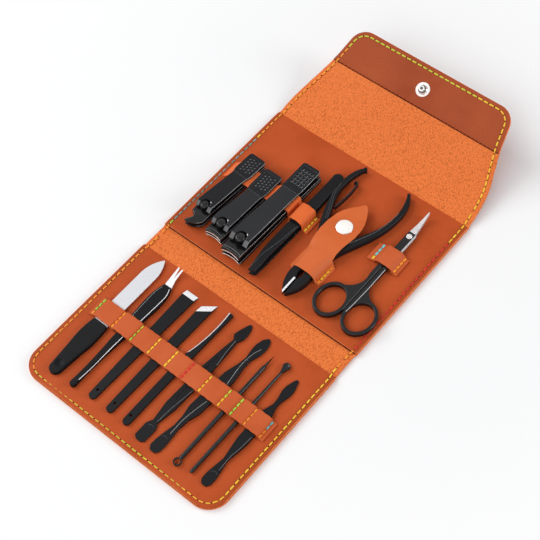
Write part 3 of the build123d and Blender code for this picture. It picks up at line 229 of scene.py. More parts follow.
def thread(name, hues):
    """Twisted thread: slanted ply lines and a second hue that comes and goes."""
    main, second = map(srgb, hues.split())
    s = Shader("thread_" + name)
    inputs = {"Scale": 900.0, "Distortion": 1.5, "Vector": s.place}
    ply = s.add("ShaderNodeTexWave", inputs, wave_type="BANDS", bands_direction="DIAGONAL").outputs["Fac"]
    hue = s.ramp(s.noise(160.0, 1.0), (0.42, main), (0.62, second))
    tone = s.mix(s.maths("MULTIPLY", ply, 0.18), hue, srgb("6A4A18"), "MULTIPLY")
    return s.finish(tone, 0.5, ply, 0.35, 0.00012, Sheen_Weight=0.15, Sheen_Roughness=0.4)


def coated_steel(name, color, gloss, grain, shine):
    """Coated metal: a faint orange-peel skin and slightly uneven gloss."""
    s = Shader(name)
    skin = s.noise(1900.0, 3.0)
    tone = s.ramp(s.noise(60.0), (0.3, (*(c * 0.86 for c in color), 1.0)), (0.7, (*color, 1.0)))
    rough = s.maths("ADD", s.maths("MULTIPLY", skin, grain * 2), gloss - grain)
    return s.finish(tone, rough, skin, 0.3, 0.00003, Specular_IOR_Level=shine)


def bare_steel(name, hues, gloss, along, metallic, grit=0.0):
    """Ground steel: fine lines along one direction, or grit, over a slow cloud of tone."""
    light, dark = map(srgb, hues.split())
    s = Shader(name)
    lines = s.noise(3800.0, 4.0, s.stretched(along))
    tone = s.ramp(lines, (0.3, dark), (0.65, light))
    bump = lines, 0.2, 0.00003
    if grit:
        speckle = s.noise(2400.0, 2.0)
        tone = s.mix(s.maths("MULTIPLY", speckle, grit), tone, dark)
        bump = speckle, 0.5, 0.00008
    rough = s.maths("ADD", s.maths("MULTIPLY", lines, 0.18), gloss)
    return s.finish(tone, rough, *bump, Metallic=metallic)


pebbled = pebbled_leather("pebbled_lining", "F08242 E97A3C C86430", 0.6, 0.18, (1.0, 0.4, 1.0))
outer_leather = pebbled_leather("outer_leather", "D9672F D0602B B44C1E", 0.75, 0.2, (1.0, 0.5, 1.0))
smooth_lower = smooth_leather("inner_leather", "C65A2E BE5328 AE4A20", 0.75, 0.1, 0.44, "A84A22")
# Lighter leather for the rounded rims of the inner panels: a painted highlight line.
painted_highlight_rim_leather = smooth_leather("painted_highlight_rim_leather", "F49A62 EA8850 D87440", 0.5, 0.03)
facing_leather = smooth_leather("facing_leather", "B05630 A84E2C 9A4424", 0.75, 0.13, 0.5)
strap_leather = smooth_leather("strap_leather", "D2683C CB6034 BD562C", 0.5, 0.05, 0.42)
tongue_leather = smooth_leather("tongue_leather", "DE7444 D86C3A CA6030", 0.55, 0.08, 0.36)
bright_strap = smooth_leather("bright_strap_leather", "F27C46 EA723C D8642F", 0.5, 0.05, 0.42)
# Dark leather of cut edges, made darker still to serve as painted shadow lines too.
edge_and_shadow_leather = smooth_leather("cut_edge_and_painted_shadow_leather", "7A3014 602410 46190A", 0.4, 0.1, 0.6)

black_steel = coated_steel("black_coated_steel", (0.0115, 0.0117, 0.013), 0.32, 0.06, 0.1)
lever_steel = coated_steel("lever_coated_steel", (0.024, 0.0245, 0.0268), 0.3, 0.06, 0.15)
pad_steel = coated_steel("pad_coated_steel", (0.0165, 0.017, 0.0185), 0.36, 0.06, 0.09)
dark_lever = coated_steel("small_lever_steel", (0.0165, 0.0167, 0.019), 0.32, 0.06, 0.1)
gloss_black = coated_steel("polished_black", (0.0075, 0.0075, 0.0085), 0.17, 0.03, 0.3)
plastic_black = coated_steel("moulded_black", (0.0085, 0.0088, 0.0098), 0.36, 0.05, 0.08)
# Four lighter steels for painted highlights on the black tools' edges, lines and facets; the facet steel also
# paints the shade in the closure stud's eye.
edge_steel = coated_steel("painted_highlight_edge_steel", (0.27, 0.27, 0.275), 0.25, 0.04, 0.5)
bright_line = coated_steel("painted_highlight_line_steel", (0.55, 0.55, 0.56), 0.25, 0.04, 0.5)
soft_edge = coated_steel("painted_highlight_soft_edge_steel", (0.05, 0.05, 0.054), 0.25, 0.04, 0.3)
facet_steel = coated_steel("painted_light_facet_steel", (0.13, 0.13, 0.137), 0.3, 0.05, 0.35)
# Near-black discs at the stitch holes: painted shade.
pricked_hole_shade = coated_steel("stitch_hole_painted_shade", (0.02, 0.008, 0.004), 0.8, 0.02, 0.1)

EVEN, ACROSS = (1.0, 1.0, 1.0), (0.05, 1.0, 1.0)
scissor_steel = bare_steel("ground_blade_steel", "E6E0DE B4B2B6", 0.3, ACROSS, 0.3)
file_steel = bare_steel("file_grit_steel", "E6E6E9 C6C6CC", 0.5, EVEN, 0.1, 0.5)
# Bright ground steel of blades, tips and jaw edges; also used for painted highlight lines and glints on other
# tools.
blade_steel = bare_steel("ground_edge_and_painted_highlight_steel", "FDFDFE D6D6DB", 0.26, ACROSS, 0.15)
nickel = bare_steel("nickel_plate", "F0EEEA D8D4CE", 0.1, EVEN, 0.95)
cap_nickel = bare_steel("satin_nickel", "FFFDF8 F6F1EA", 0.22, EVEN, 0.12)
rose_steel = bare_steel("jaw_edge_steel", "F6E2D8 D8C0B6", 0.3, (1.0, 0.2, 1.0), 0.2)

THREAD_HUES = {
    "orange": "FF9A12 FFAE28", "lime": "C4DA2C D8DE38", "yellow": "FFDC34 FBC624", "green": "B8EE48 98DA3C",
    "teal": "4CAAA8 7CC8CE", "red": "EC1612 D01010", "blue": "52D4DC 78E0E4",
}
THREADS = [thread(name, hues) for name, hues in THREAD_HUES.items()]
THREAD_NAMES = list(THREAD_HUES)
HOLE = len(THREAD_NAMES)


# ---------------------------------------------------------------- mesh helpers
def finish_piece(obj, body, slot, *replaced):
    """Puts a finished piece on its body and hides the CAD parts that it stands for; its slot is not used."""
    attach(obj, body)
    if replaced:
        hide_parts(*replaced)


def linked(name, data):
    """New object in the scene."""
    obj = bpy.data.objects.new(name, data)
    bpy.context.scene.collection.objects.link(obj)
    return obj


def to_object(bm, name, *materials, crisp=38.0):
    """Object from a bmesh, smooth apart from its sharp edges."""
    mesh = bpy.data.meshes.new(name)
    bm.normal_update()
    bm.to_mesh(mesh)
    bm.free()
    mesh.shade_smooth()
    mesh.set_sharp_from_angle(angle=radians(crisp))
    for material in materials:
        mesh.materials.append(material)
    return linked(name, mesh)


def smooth_step(t):
    t = min(max(t, 0.0), 1.0)
    return t * t * (3 - 2 * t)


def rounded(points, radii, steps=10):
    """Closed outline with its corners rounded. A radius of 0 leaves a corner sharp."""
    out = []
    for i, (point, radius) in enumerate(zip(points, radii)):
        p = Vector(point)
        if radius <= 0:
            out.append(p)
            continue
        a = (Vector(points[i - 1]) - p).normalized()
        b = (Vector(points[(i + 1) % len(points)]) - p).normalized()
        half = a.angle(b) / 2
        start = p + a * radius / tan(half)
        centre = p + (a + b).normalized() * radius / sin(half)
        sweep = (pi - 2 * half) * (1 if a.cross(b) < 0 else -1)
        turns = [Matrix.Rotation(sweep * k / steps, 2) for k in range(steps + 1)]
        out += [centre + turn @ (start - centre) for turn in turns]
    return out


def divided(points, step, closed=True):
    """The same outline or open line with no side longer than the step."""
    ends = points[1:] + points[:1] if closed else points[1:]
    out = []
    for p, q in zip(points, ends):
        n = max(1, round((q - p).length / step))
        out += [p.lerp(q, k / n) for k in range(n)]
    return out if closed else out + [points[-1]]


def inset(points, amount):
    """Closed outline, anticlockwise, moved inwards by the amount."""
    out = []
    for i, p in enumerate(points):
        a = (p - points[i - 1]).normalized()
        b = (points[(i + 1) % len(points)] - p).normalized()
        na, nb = Vector((-a.y, a.x)), Vector((-b.y, b.x))
        n = (na + nb).normalized()
        out.append(p + n * amount / max(n.dot(na), 0.4))
    return out


def sliced(bm, point, normal, **more):
    """Cuts the mesh by a plane."""
    geometry = bm.verts[:] + bm.edges[:] + bm.faces[:]
    return bmesh.ops.bisect_plane(bm, geom=geometry, plane_co=point, plane_no=normal, **more)


def loft(bm, rings, material=0):
    """Walls from each closed ring of points to the next and a cap on either end, all facing out."""
    rings = [[bm.verts.new(p) for p in ring] for ring in rings]
    faces = [bm.faces.new(rings[0]), bm.faces.new(rings[-1])]
    for a, b in zip(rings, rings[1:]):
        for k in range(len(a)):
            m = (k + 1) % len(a)
            faces.append(bm.faces.new((a[k], a[m], b[m], b[k])))
    for face in faces:
        face.material_index = material
    bmesh.ops.recalc_face_normals(bm, faces=faces)


ROUND = 0.29  # how far in, in radii, a quarter circle is halfway round


def slab(outline, top, bottom, radius, cuts_u, cuts_s):
    """Flat slab in (across, along, up) millimetres with rounded rims, cut into a grid."""
    bm = bmesh.new()
    k = ROUND * radius
    profile = [(radius, top), (k, top - k), (0, top - radius)]
    profile += [(0, bottom + radius), (k, bottom + k), (radius, bottom)]
    loft(bm, [[(p.x, p.y, level) for p in inset(outline, amount)] for amount, level in profile])
    for cut in cuts_u:
        sliced(bm, (cut, 0, 0), (1, 0, 0))
    for cut in cuts_s:
        sliced(bm, (0, cut, 0), (0, 1, 0))
    return bm


def keep_between(bm, low, high):
    """Cuts away what lies outside two places along the case and closes the cut ends."""
    for place, outer in ((low, -1), (high, 1)):
        if place is not None:
            done = sliced(bm, (0, place, 0), (0, outer, 0), clear_outer=True)
            rim = [e for e in done["geom_cut"] if isinstance(e, bmesh.types.BMEdge)]
            bmesh.ops.holes_fill(bm, edges=rim)


# The upper spine and the flap rise in two soft bends.
BEND_STEP = 0.25
BEND_START = CREASE_3 - 3.0
BENDS = [(CREASE_3, 15.0, 2.5), (CREASE_4, 15.667, 8.0)]


def tilt_at(s):
    """Lean of the case at a place along it. A bend is (place, degrees, reach)."""
    return sum(radians(lean) * smooth_step((s - crease + reach) / (2 * reach)) for crease, lean, reach in BENDS)


def bend_line():
    """Points (y, z) of the lining's level from the start of the bends to the flap's end."""
    y, z, s = BEND_START, LEVEL, BEND_START
    points = []
    while s < FLAP_END + 4:
        points.append((y, z))
        tilt = tilt_at(s + BEND_STEP / 2)
        y += BEND_STEP * cos(tilt)
        z += BEND_STEP * sin(tilt)
        s += BEND_STEP
    return points


bend_table = bend_line()


def on_case(u, s, w):
    """Point at u across, s along and w above the lining's level, in metres."""
    if s <= BEND_START:
        return Vector((u, s, LEVEL + w)) * MM
    at = (s - BEND_START) / BEND_STEP
    i = min(int(at), len(bend_table) - 2)
    (y0, z0), (y1, z1) = bend_table[i], bend_table[i + 1]
    part = at - i
    tilt = tilt_at(s)
    return Vector((u, y0 + (y1 - y0) * part - w * sin(tilt), z0 + (z1 - z0) * part + w * cos(tilt))) * MM


def to_case(bm, lift):
    """Moves flat (across, along, up) points to their place on the case, raised by the lift."""
    for v in bm.verts:
        u, s, w = v.co
        v.co = on_case(u, s, w + lift(u, s, w))


def soft_wave(u, s):
    """Slow unevenness of leather, in millimetres."""
    return 0.1 * sin(u / 17 + 0.6) * sin(s / 23 + 1.1) + 0.06 * sin(u / 7.3 + s / 11.0)


# ---------------------------------------------------------------- leather of the case
right_side = [
    (CASE_HALF, FREE_EDGE), (CASE_HALF, CREASE_1 - 2), (SPINE_HALF, CREASE_1 + 1), (SPINE_HALF, CREASE_2 - 1.2),
    (CASE_HALF, CREASE_2 + 0.4), (CASE_HALF, CREASE_3 - 0.4), (SPINE_HALF, CREASE_3 + 1.5),
    (SPINE_HALF, CREASE_3 + 6), (76.1, CREASE_3 + 14), (74.9, CREASE_3 + 22), (72.9, CREASE_3 + 30),
    (70.2, CREASE_3 + 38), (67.4, CREASE_3 + 47), (FLAP_HALF + 4.4, CREASE_3 + 54), (FLAP_HALF, FLAP_END),
]


def both_sides(points):
    """The right side's points and their mirror images, back down on the left."""
    return points + [(-u, s) for u, s in reversed(points)]


side_radii = [LOWER_CORNER] + [0] * 6 + [6] * 7 + [FLAP_CORNER]
skin_outline = divided(rounded(both_sides(right_side), side_radii + side_radii[::-1]), 3.0)


def steps_between(low, high, step):
    count = max(1, round((high - low) / step))
    return [low + (high - low) * i / count for i in range(1, count)]


def crease_rows(place, reach, step):
    return [place + step * i for i in range(-int(reach / step), int(reach / step) + 1)]


ROWS = (
    steps_between(FREE_EDGE, CREASE_1 - 5, 9) + crease_rows(CREASE_1, 4, 0.5) + crease_rows(CREASE_2, 4, 0.5)
    + steps_between(CREASE_2 + 5, CREASE_3 - 5, 9) + crease_rows(CREASE_3, 4, 0.5)
    + crease_rows(CREASE_4, 9, 1.0) + steps_between(CREASE_4 + 10, FLAP_END, 6)
)
COLUMNS = [8.0 * i for i in range(-9, 10)]


def skin_lift(u, s, w):
    """The lining sinks a little beside each of the lower creases."""
    if w < -0.7:
        return 0.0
    dips = ((CREASE_1, 0.3), (CREASE_2, 0.55), (CREASE_3, 0.3))
    dip = sum(depth * max(0.0, 1 - abs(s - crease) / DIP_REACH) for crease, depth in dips)
    return -dip * min(1.0, (w + 0.7) / 0.7)


# Each skin: name, its two ends, the two bodies and the crease that it runs over, how far its bend
# reaches, and the parts that it stands for.
SPINE_MIDDLE = (CREASE_1 + CREASE_2) / 2
PANEL_MIDDLE = 0.0
TOP_SPLIT = CREASE_3 + 9.0
SKINS = [
    ("lower", None, SPINE_MIDDLE, "lower_panel", "low_spine", CREASE_1, 2.2, ["lower_cover", "lower_board"]),
    ("low_spine", SPINE_MIDDLE, PANEL_MIDDLE, "low_spine", "case_middle", CREASE_2, 2.2,
     ["low_spine_cover", "low_spine_lining"]),
    ("middle", PANEL_MIDDLE, TOP_SPLIT, "case_middle", "top_spine", CREASE_3, 2.2,
     ["middle_cover", "middle_board", "top_spine_cover", "top_spine_lining"]),
    ("flap", TOP_SPLIT, None, "top_spine", "flap", CREASE_4, 7.0, ["flap_cover", "flap_lining"]),
]


def over_crease(piece, body_a, body_b, crease, reach, slot):
    """Bakes the piece's placement into its mesh; the two bodies are not used."""
    on_case(0, crease - reach, 0)
    on_case(0, crease + reach, 0)
    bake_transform(piece)


for name, low, high, *bend, replaced in SKINS:
    bm = slab(skin_outline, 0.0, -LEVEL, 0.55, COLUMNS, sorted(ROWS))
    keep_between(bm, low, high)
    for face in bm.faces:
        if face.normal.z < -0.3 or face.calc_center_median().z < -0.95:
            face.material_index = 1
    to_case(bm, skin_lift)
    skin = to_object(bm, name + "_skin", pebbled, outer_leather, crisp=60)
    over_crease(skin, *bend, "pebbled")
    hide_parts(*replaced)


def seam_lift(seam, s, w):
    """Raised leather thins out towards its flat seam beside a crease."""
    return -SEAM_THINNING * w * max(0.0, 1 - abs(s - seam) / SEAM_TAPER) if w > 0 else 0.0


def inner_leather(name, low, high, low_corner, body, replaced):
    half = CASE_HALF - 0.2
    corners = [(half, low), (half, high), (-half, high), (-half, low)]
    outline = divided(rounded(corners, [low_corner, 0, 0, low_corner]), 4.0)
    rows = steps_between(low, high, 5.0) + [low + 0.8, low + 1.6, high - 0.8, high - 1.6]
    bm = slab(outline, LINER_T, -0.3, 0.3, [5.0 * i for i in range(-15, 16)], sorted(rows))
    bm.normal_update()
    # The low end face takes the dark cut-edge leather, darkened further as a painted shadow line; the rounded rims
    # along the sides and the low end take lighter leather, a painted highlight.
    for face in bm.faces:
        c, n = face.calc_center_median(), face.normal
        if n.y < -0.9 and c.y < low + 0.5:
            face.material_index = 2
        elif 0.2 < n.z < 0.95 and (abs(c.x) > half - 0.5 or c.y < low + 0.5):
            face.material_index = 1
    to_case(bm, lambda u, s, w: seam_lift(high, s, w) + (0.5 * soft_wave(u, s) if w > 0.4 else 0))
    finish_piece(to_object(bm, name, smooth_lower, painted_highlight_rim_leather, edge_and_shadow_leather, crisp=60), body, "smooth", replaced)


LOWER_SEAM, MIDDLE_SEAM = CREASE_1 - SEAM_GAP, CREASE_3 - SEAM_GAP
inner_leather(
    "lower_inner_leather", FREE_EDGE + 0.3, LOWER_SEAM, LOWER_CORNER - 0.4, "lower_panel", "lower_liner"
)
inner_leather("middle_inner_leather", CREASE_2 + 0.3, MIDDLE_SEAM, 0, "case_middle", "middle_liner")

# The flap's facing has a pinked edge across the lining.
TOOTH, TOOTH_DEPTH = 1.5, 0.35
FACING_HALF = 66.2
facing_side = [
    (FACING_HALF, FACING_START), (FLAP_HALF + 4.1, CREASE_3 + 54), (FLAP_HALF - 0.3, FLAP_END - 0.3),
]
facing_radii = [0, 6, FLAP_CORNER - 0.3]
curve = rounded(both_sides(facing_side), facing_radii + facing_radii[::-1])
teeth = 2 * int(FACING_HALF / TOOTH)
pinked = [
    Vector((FACING_HALF * (2 * i / teeth - 1), FACING_START + (TOOTH_DEPTH if i % 2 else 0.0)))
    for i in range(1, teeth)
]
bm = slab(
    divided(curve, 4.0, closed=False) + pinked, 0.8, -0.2, 0.12, COLUMNS, steps_between(FACING_START, FLAP_END, 4)
)
bm.normal_update()
# The pinked front faces take the dark cut-edge leather, which also stands as a painted shadow along the edge.
for face in bm.faces:
    if face.normal.y < -0.4 and face.calc_center_median().y < FACING_START + 0.6:
        face.material_index = 1
to_case(bm, lambda u, s, w: 0.3 * soft_wave(u, s) if w > 0.4 else 0)
facing = to_object(bm, "flap_facing_leather", facing_leather, edge_and_shadow_leather, crisp=60)
finish_piece(facing, "flap", "brown", "flap_facing")


# ---------------------------------------------------------------- stitching
RISE, LOW_RISE = 0.42, -0.06
TEAL_SHARE = 0.78
LOW_BEFORE = FREE_EDGE + 6


def circle(radius, sides):
    """Points of a round outline about the origin."""
    turns = [2 * pi * k / sides for k in range(sides)]
    return [(radius * cos(a), radius * sin(a)) for a in turns]


def add_stitch(bm, place, start, end, material, radius, rise):
    """One thread loop that comes up out of the leather and dives again."""
    steps, sides = 8, 7
    along = (end - start).normalized()
    across = Vector((-along.y, along.x))
    rings = []
    for i in range(steps + 1):
        t = i / steps
        centre = start.lerp(end, t)
        arc = sin(pi * t) ** 0.4
        hump = rise * arc - 0.14 if 0 < t < 1 else -0.3
        section = circle(radius * (0.5 + 0.5 * arc), sides)
        rings.append([place(*(centre + across * side), hump + 0.6 * up) for side, up in section])
    loft(bm, rings, material)


def add_hole(bm, place, centre, radius):
    """Flat dark disc at the pricked hole between two stitches: painted shade."""
    ring = [bm.verts.new(place(centre.x + x, centre.y + y, 0.02)) for x, y in circle(radius, 8)]
    bm.faces.new(ring).material_index = HOLE


def stitch_run(bm, place, path, color_of, pitch=STITCH_PITCH, gap=0.7, radius=0.47, hole=0.42):
    """Stitches along a polyline, each coloured by its place. They lie low where tools slide over them."""
    lengths = [0.0]
    for a, b in zip(path, path[1:]):
        lengths.append(lengths[-1] + (b - a).length)
    count = max(1, round(lengths[-1] / pitch))
    step = lengths[-1] / count

    def at(d):
        last = len(path) - 2
        i = next((i for i in range(last) if d <= lengths[i + 1]), last)
        return path[i].lerp(path[i + 1], (d - lengths[i]) / (lengths[i + 1] - lengths[i]))

    for i in range(count):
        middle = at((i + 0.5) * step)
        color = color_of(middle.x, middle.y)
        fat = radius * (TEAL_SHARE if color == "teal" else 1.0)
        rise = LOW_RISE if middle.y < LOW_BEFORE else RISE
        start, end = at(i * step + gap / 2), at((i + 1) * step - gap / 2)
        add_stitch(bm, place, start, end, THREAD_NAMES.index(color), fat, rise)
        add_hole(bm, place, at(i * step), hole)


def stitch_object(bm, name):
    return to_object(bm, name, *THREADS, pricked_hole_shade, crisp=50)


# The edge thread's colours along either side, each with the place where it ends.
LEFT_THREADS = [
    (CREASE_2 + 2, "orange"), (CREASE_2 + 6, "green"), (CREASE_2 + 88, "teal"), (CREASE_2 + 92, "yellow"),
    (FLAP_END - 14, "orange"),
]
RIGHT_THREADS = [
    (CREASE_1 + 6, "yellow"), (CREASE_2 + 1, "orange"), (CREASE_3 - 18, "red"), (FLAP_END - 6, "yellow"),
]


def edge_color(u, s):
    """Colour of the variegated edge thread at a place on the case."""
    if s < FREE_EDGE + 6 and abs(u) < CASE_HALF - 8:
        return "lime" if u < 52 else "yellow"
    threads = LEFT_THREADS if u < 0 else RIGHT_THREADS
    return next((color for end, color in threads if s < end), "lime" if u < 36 else "yellow")


def surface_level(s):
    """Height of the leather under the stitches, above the lining's level."""
    if s < LOWER_SEAM:
        return LINER_T + seam_lift(LOWER_SEAM, s, LINER_T)
    if s < CREASE_2 + 0.3:
        return skin_lift(0, s, 0) + LOW_SPINE_RISE
    if s < MIDDLE_SEAM:
        return LINER_T + seam_lift(MIDDLE_SEAM, s, LINER_T)
    if s < FACING_START:
        return skin_lift(0, s, 0) + TOP_SPINE_RISE
    return LINER_T


def on_surface(u, s, w):
    return on_case(u, s, surface_level(s) + w)


def runs_between(line, low, high):
    """The stretches of an open line between two places along the case."""
    runs = [[]]
    for p in line:
        if (low is None or p.y >= low) and (high is None or p.y <= high):
            runs[-1].append(p)
        elif runs[-1]:
            runs.append([])
    return [run for run in runs if len(run) > 1]


stitch_line = inset(skin_outline, STITCH_INSET)
first = min(range(len(stitch_line)), key=lambda i: (stitch_line[i] - Vector((0, FREE_EDGE))).length)
stitch_line = stitch_line[first:] + stitch_line[:first + 1]
for name, low, high, *bend, replaced in SKINS:
    bm = bmesh.new()
    for run in runs_between(stitch_line, low, high):
        stitch_run(bm, on_surface, run, edge_color)
    over_crease(stitch_object(bm, name + "_edge_stitches"), *bend, "strap")


# ---------------------------------------------------------------- straps
STRAP_BASE = PANEL_TOP + 0.02
TOOL_SEAT = 0.2
STRAP_CLEAR = 0.3
VALLEY = 2.2
SADDLE = 5.5
RIM = 0.28
# Rounded side of a strap that is 1 high: how far in from its edge, and how high.
RIM_PROFILE = [(RIM, -0.5), (0.08, -0.42), (0, RIM - 0.5), (0, 0.5 - RIM), (0.08, 0.42), (RIM, 0.5)]


def bent(points, steps=5):
    """Open line through (x, z, radius) points with its corners rounded."""
    line = [Vector(points[0][:2])]
    for before, here, after in zip(points, points[1:], points[2:]):
        p = Vector(here[:2])
        a = (Vector(before[:2]) - p).normalized()
        b = (Vector(after[:2]) - p).normalized()
        half = a.angle(b) / 2
        reach = here[2] / tan(half)
        start, end = p + a * reach, p + b * reach
        for i in range(steps + 1):
            t = i / steps
            line.append(start * (1 - t) ** 2 + p * 2 * t * (1 - t) + end * t * t)
    line.append(Vector(points[-1][:2]))
    return line


def heading(line, i):
    """Direction of an open line at one of its points."""
    return (line[min(i + 1, len(line) - 1)] - line[max(i - 1, 0)]).normalized()


def strap_mesh(line, y, width, crown, tacks):
    """Band of leather with rounded rims along a line of (x, height) points, sewn down at the tacks."""
    half = width / 2
    side = [(half - v, w) for v, w in RIM_PROFILE]
    steps = max(4, int(width / 1.7))
    top = [((half - RIM) * (1 - 2 * i / steps), 0.5) for i in range(1, steps)]
    loop = side + top + [(-v, w) for v, w in reversed(side)]
    rings = []
    for i, p in enumerate(line):
        ahead = heading(line, i)
        up = Vector((-ahead.y, ahead.x))
        sewn = max((smooth_step((1.3 - abs(p.x - x)) / 0.7) for x in tacks), default=0.0)
        ring = []
        for v, w in loop:
            puff = crown * (1 - (v / half) ** 2) * smooth_step((p.y - 1.2) / 2.0)
            drop = sewn * (p.y - FLAT) if w < 0 else 0.0
            place = p + up * (w * STRAP_T + puff - drop)
            wander = 0.1 * sin(p.x * 1.3 + v) if abs(v) > half - 0.4 else 0.0
            ring.append(Vector((place.x, y + v + wander, STRAP_BASE + place.y)) * MM)
        rings.append(ring)
    bm = bmesh.new()
    loft(bm, rings)
    return bm


def strap_piece(node, y, width, points, rows, material, crown=0.0, thick=0.62):
    """Strap with its rows of stitches. A row is (x, the threads' colours along the case)."""
    line = divided(bent(points), 0.7, closed=False)
    name, body = node + "_leather", body_of_node[node]
    band = strap_mesh(line, y, width, crown, [x for x, colors in rows])
    finish_piece(to_object(band, name, material, crisp=50), body, "strap", node)
    if not rows:
        return
    bm = bmesh.new()
    low, high = y - width / 2, y + width / 2
    for x, colors in rows:
        level = STRAP_BASE + FLAT + max(p.y for p in line if abs(p.x - x) < 0.5)
        stitch_run(
            bm, lambda u, v, w: Vector((u, v, level + w)) * MM, [Vector((x, low + 0.3)), Vector((x, high - 0.3))],
            lambda u, v: colors[min(int((v - low) / width * len(colors)), len(colors) - 1)], 3.4, 0.3, thick, 0.26,
        )
    finish_piece(stitch_object(bm, name + "_stitches"), body, "strap")


def bay(x, passage, height):
    """Left wall, right wall and the strap's middle height over one tool."""
    reach = passage / 2 + FLAT + STRAP_CLEAR
    return x - reach, x + reach, TOOL_SEAT + height + STRAP_CLEAR + FLAT


LOWER_BAYS = [
    bay(-57.8, 10.5, 1.9), bay(-42.2, 9.6, 3.0), bay(-27.6, 9.3, 1.8), bay(-13.4, 8.0, 1.8), bay(-0.2, 6.2, 1.8),
    bay(14.2, 7.6, 2.2), bay(27.4, 9.2, 2.2), bay(40.2, 2.6, 2.6), bay(50.5, 4.6, 2.5), bay(61.1, 7.4, 2.2),
]
LOWER_ROWS = [
    (-67.1, ("orange", "green", "green")), (-50.0, ("orange",)), (-35.1, ("green", "lime")), (-20.6, ("yellow",)),
    (-6.6, ("yellow",)), (6.3, ("red",)), (20.4, ("yellow",)), (35.4, ("yellow", "lime")), (44.8, ("green",)),
    (55.2, ("orange",)), (66.9, ("orange", "blue")),
]


def row_points(x, level=FLAT, half=0.75):
    return [(x - half, level, 0.7), (x + half, level, 0.7)]


lower_points = [(-69.3, FLAT, 0)] + row_points(LOWER_ROWS[0][0])[1:]
for (left, right, height), (row, colors) in zip(LOWER_BAYS, LOWER_ROWS[1:]):
    lower_points += [(left - 0.5, height, 0.8), (right + 0.5, height, 0.8)]
    lower_points += row_points(row, VALLEY) if row != LOWER_ROWS[-1][0] else row_points(row)[:1]
lower_points.append((69.8, FLAT, 0))
strap_piece("tool_strap", -128.5, 14.0, lower_points, LOWER_ROWS, strap_leather, 0.15)

# The clippers' strap passes over the arms and under the levers.
SMALL, MEDIUM, LARGE = bay(-59.28, 12.57, 4.69), bay(-42.72, 13.39, 4.51), bay(-25.2, 14.5, 6.34)
clipper_points = [
    (-71.6, FLAT, 0), (-70.4, FLAT + 0.6, 1.0),
    (SMALL[0], SMALL[2], 1.6), (SMALL[1], SMALL[2], 0.7), ((SMALL[1] + MEDIUM[0]) / 2, SADDLE, 0.5),
    (MEDIUM[0], MEDIUM[2], 0.7), (MEDIUM[1], MEDIUM[2], 0.7), ((MEDIUM[1] + LARGE[0]) / 2, SADDLE, 0.5),
    (LARGE[0], LARGE[2], 0.7), (LARGE[1], LARGE[2], 1.4), (LARGE[1] + 0.5, FLAT, 0.3), (-15.9, FLAT, 0),
]
strap_piece("clipper_strap", 0.25, 13.5, clipper_points, [], bright_strap)
left, right, height = bay(-8.9, 8.0, 6.3)
loop_points = [
    (-15.6, FLAT, 0), (left - 0.5, FLAT, 0.4), (left, height, 2.2), (-8.9, height + 0.9, 4.0),
    (right + 0.1, height - 0.2, 2.4), (right + 0.7, FLAT, 0.5), (0.4, FLAT, 0),
]
strap_piece("tweezers_loop", -2.0, 14.0, loop_points, [(-2.0, ("yellow",))], bright_strap, 0.0, 0.8)
left, right, height = bay(53.6, 8.3, 3.7)
scissors_points = [
    (41.0, 0.8, 0), (45.3, 1.9, 1.5), (left + 0.4, height, 2.0), (right - 0.4, height, 2.0), (60.9, 1.5, 1.0),
    (63.4, 0.7, 0),
]
SCISSORS_ROWS = [(44.9, ("yellow", "blue", "blue")), (61.1, ("orange",))]
strap_piece("scissors_strap", 7.0, 14.0, scissors_points, SCISSORS_ROWS, strap_leather, 0.2, 0.72)


# ---------------------------------------------------------------- nipper sheath and tongue
NIPPER_X = 17.8
SHEATH_LOW, SHEATH_HIGH = -34.0, -17.0
SHEATH_LEFT, SHEATH_RIGHT = 6.2, 30.3
SHEATH_TOP = 6.5 + FLAT
TONGUE_TIP = 28.3
SNAP = Vector((18.5, 6.5))
# Place along the case, then the left and the right side of the leather from the nipper's middle.
TONGUE_OUTLINE = [
    (-34.0, -8.2, 8.3), (-26.0, -8.5, 8.6), (-17.0, -8.8, 9.2), (-12.0, -9.8, 9.2), (-8.1, -10.4, 9.2),
    (-2.3, -11.1, 9.6), (4.0, -11.1, 10.6), (11.0, -9.8, 10.4), (15.4, -8.3, 9.6), (20.5, -5.2, 7.5),
    (25.2, -1.8, 4.7), (27.2, -0.4, 2.9), (28.3, 0.9, 1.9),
]


def between(table, place, column):
    for a, b in zip(table, table[1:]):
        if place <= b[0]:
            t = (place - a[0]) / (b[0] - a[0])
            return a[column] + (b[column] - a[column]) * (smooth_step(t) + 2 * t) / 3
    return table[-1][column]


def tongue_level(y):
    """Height of the leather's middle above the panel, along the sheath and tongue."""
    if y < -16.0:
        return SHEATH_TOP
    if y < 17.0:
        return SHEATH_TOP - 0.8 * smooth_step((y + 10.0) / 12.0)
    return SHEATH_TOP - 0.8 - 1.1 * smooth_step((y - 17.0) / 12.0)


def apply_modifiers(obj):
    """Bakes an object's modifiers into its own mesh."""
    graph = bpy.context.evaluated_depsgraph_get()
    mesh = bpy.data.meshes.new_from_object(obj.evaluated_get(graph), depsgraph=graph)
    old = obj.data
    obj.modifiers.clear()
    obj.data = mesh
    bpy.data.meshes.remove(old)


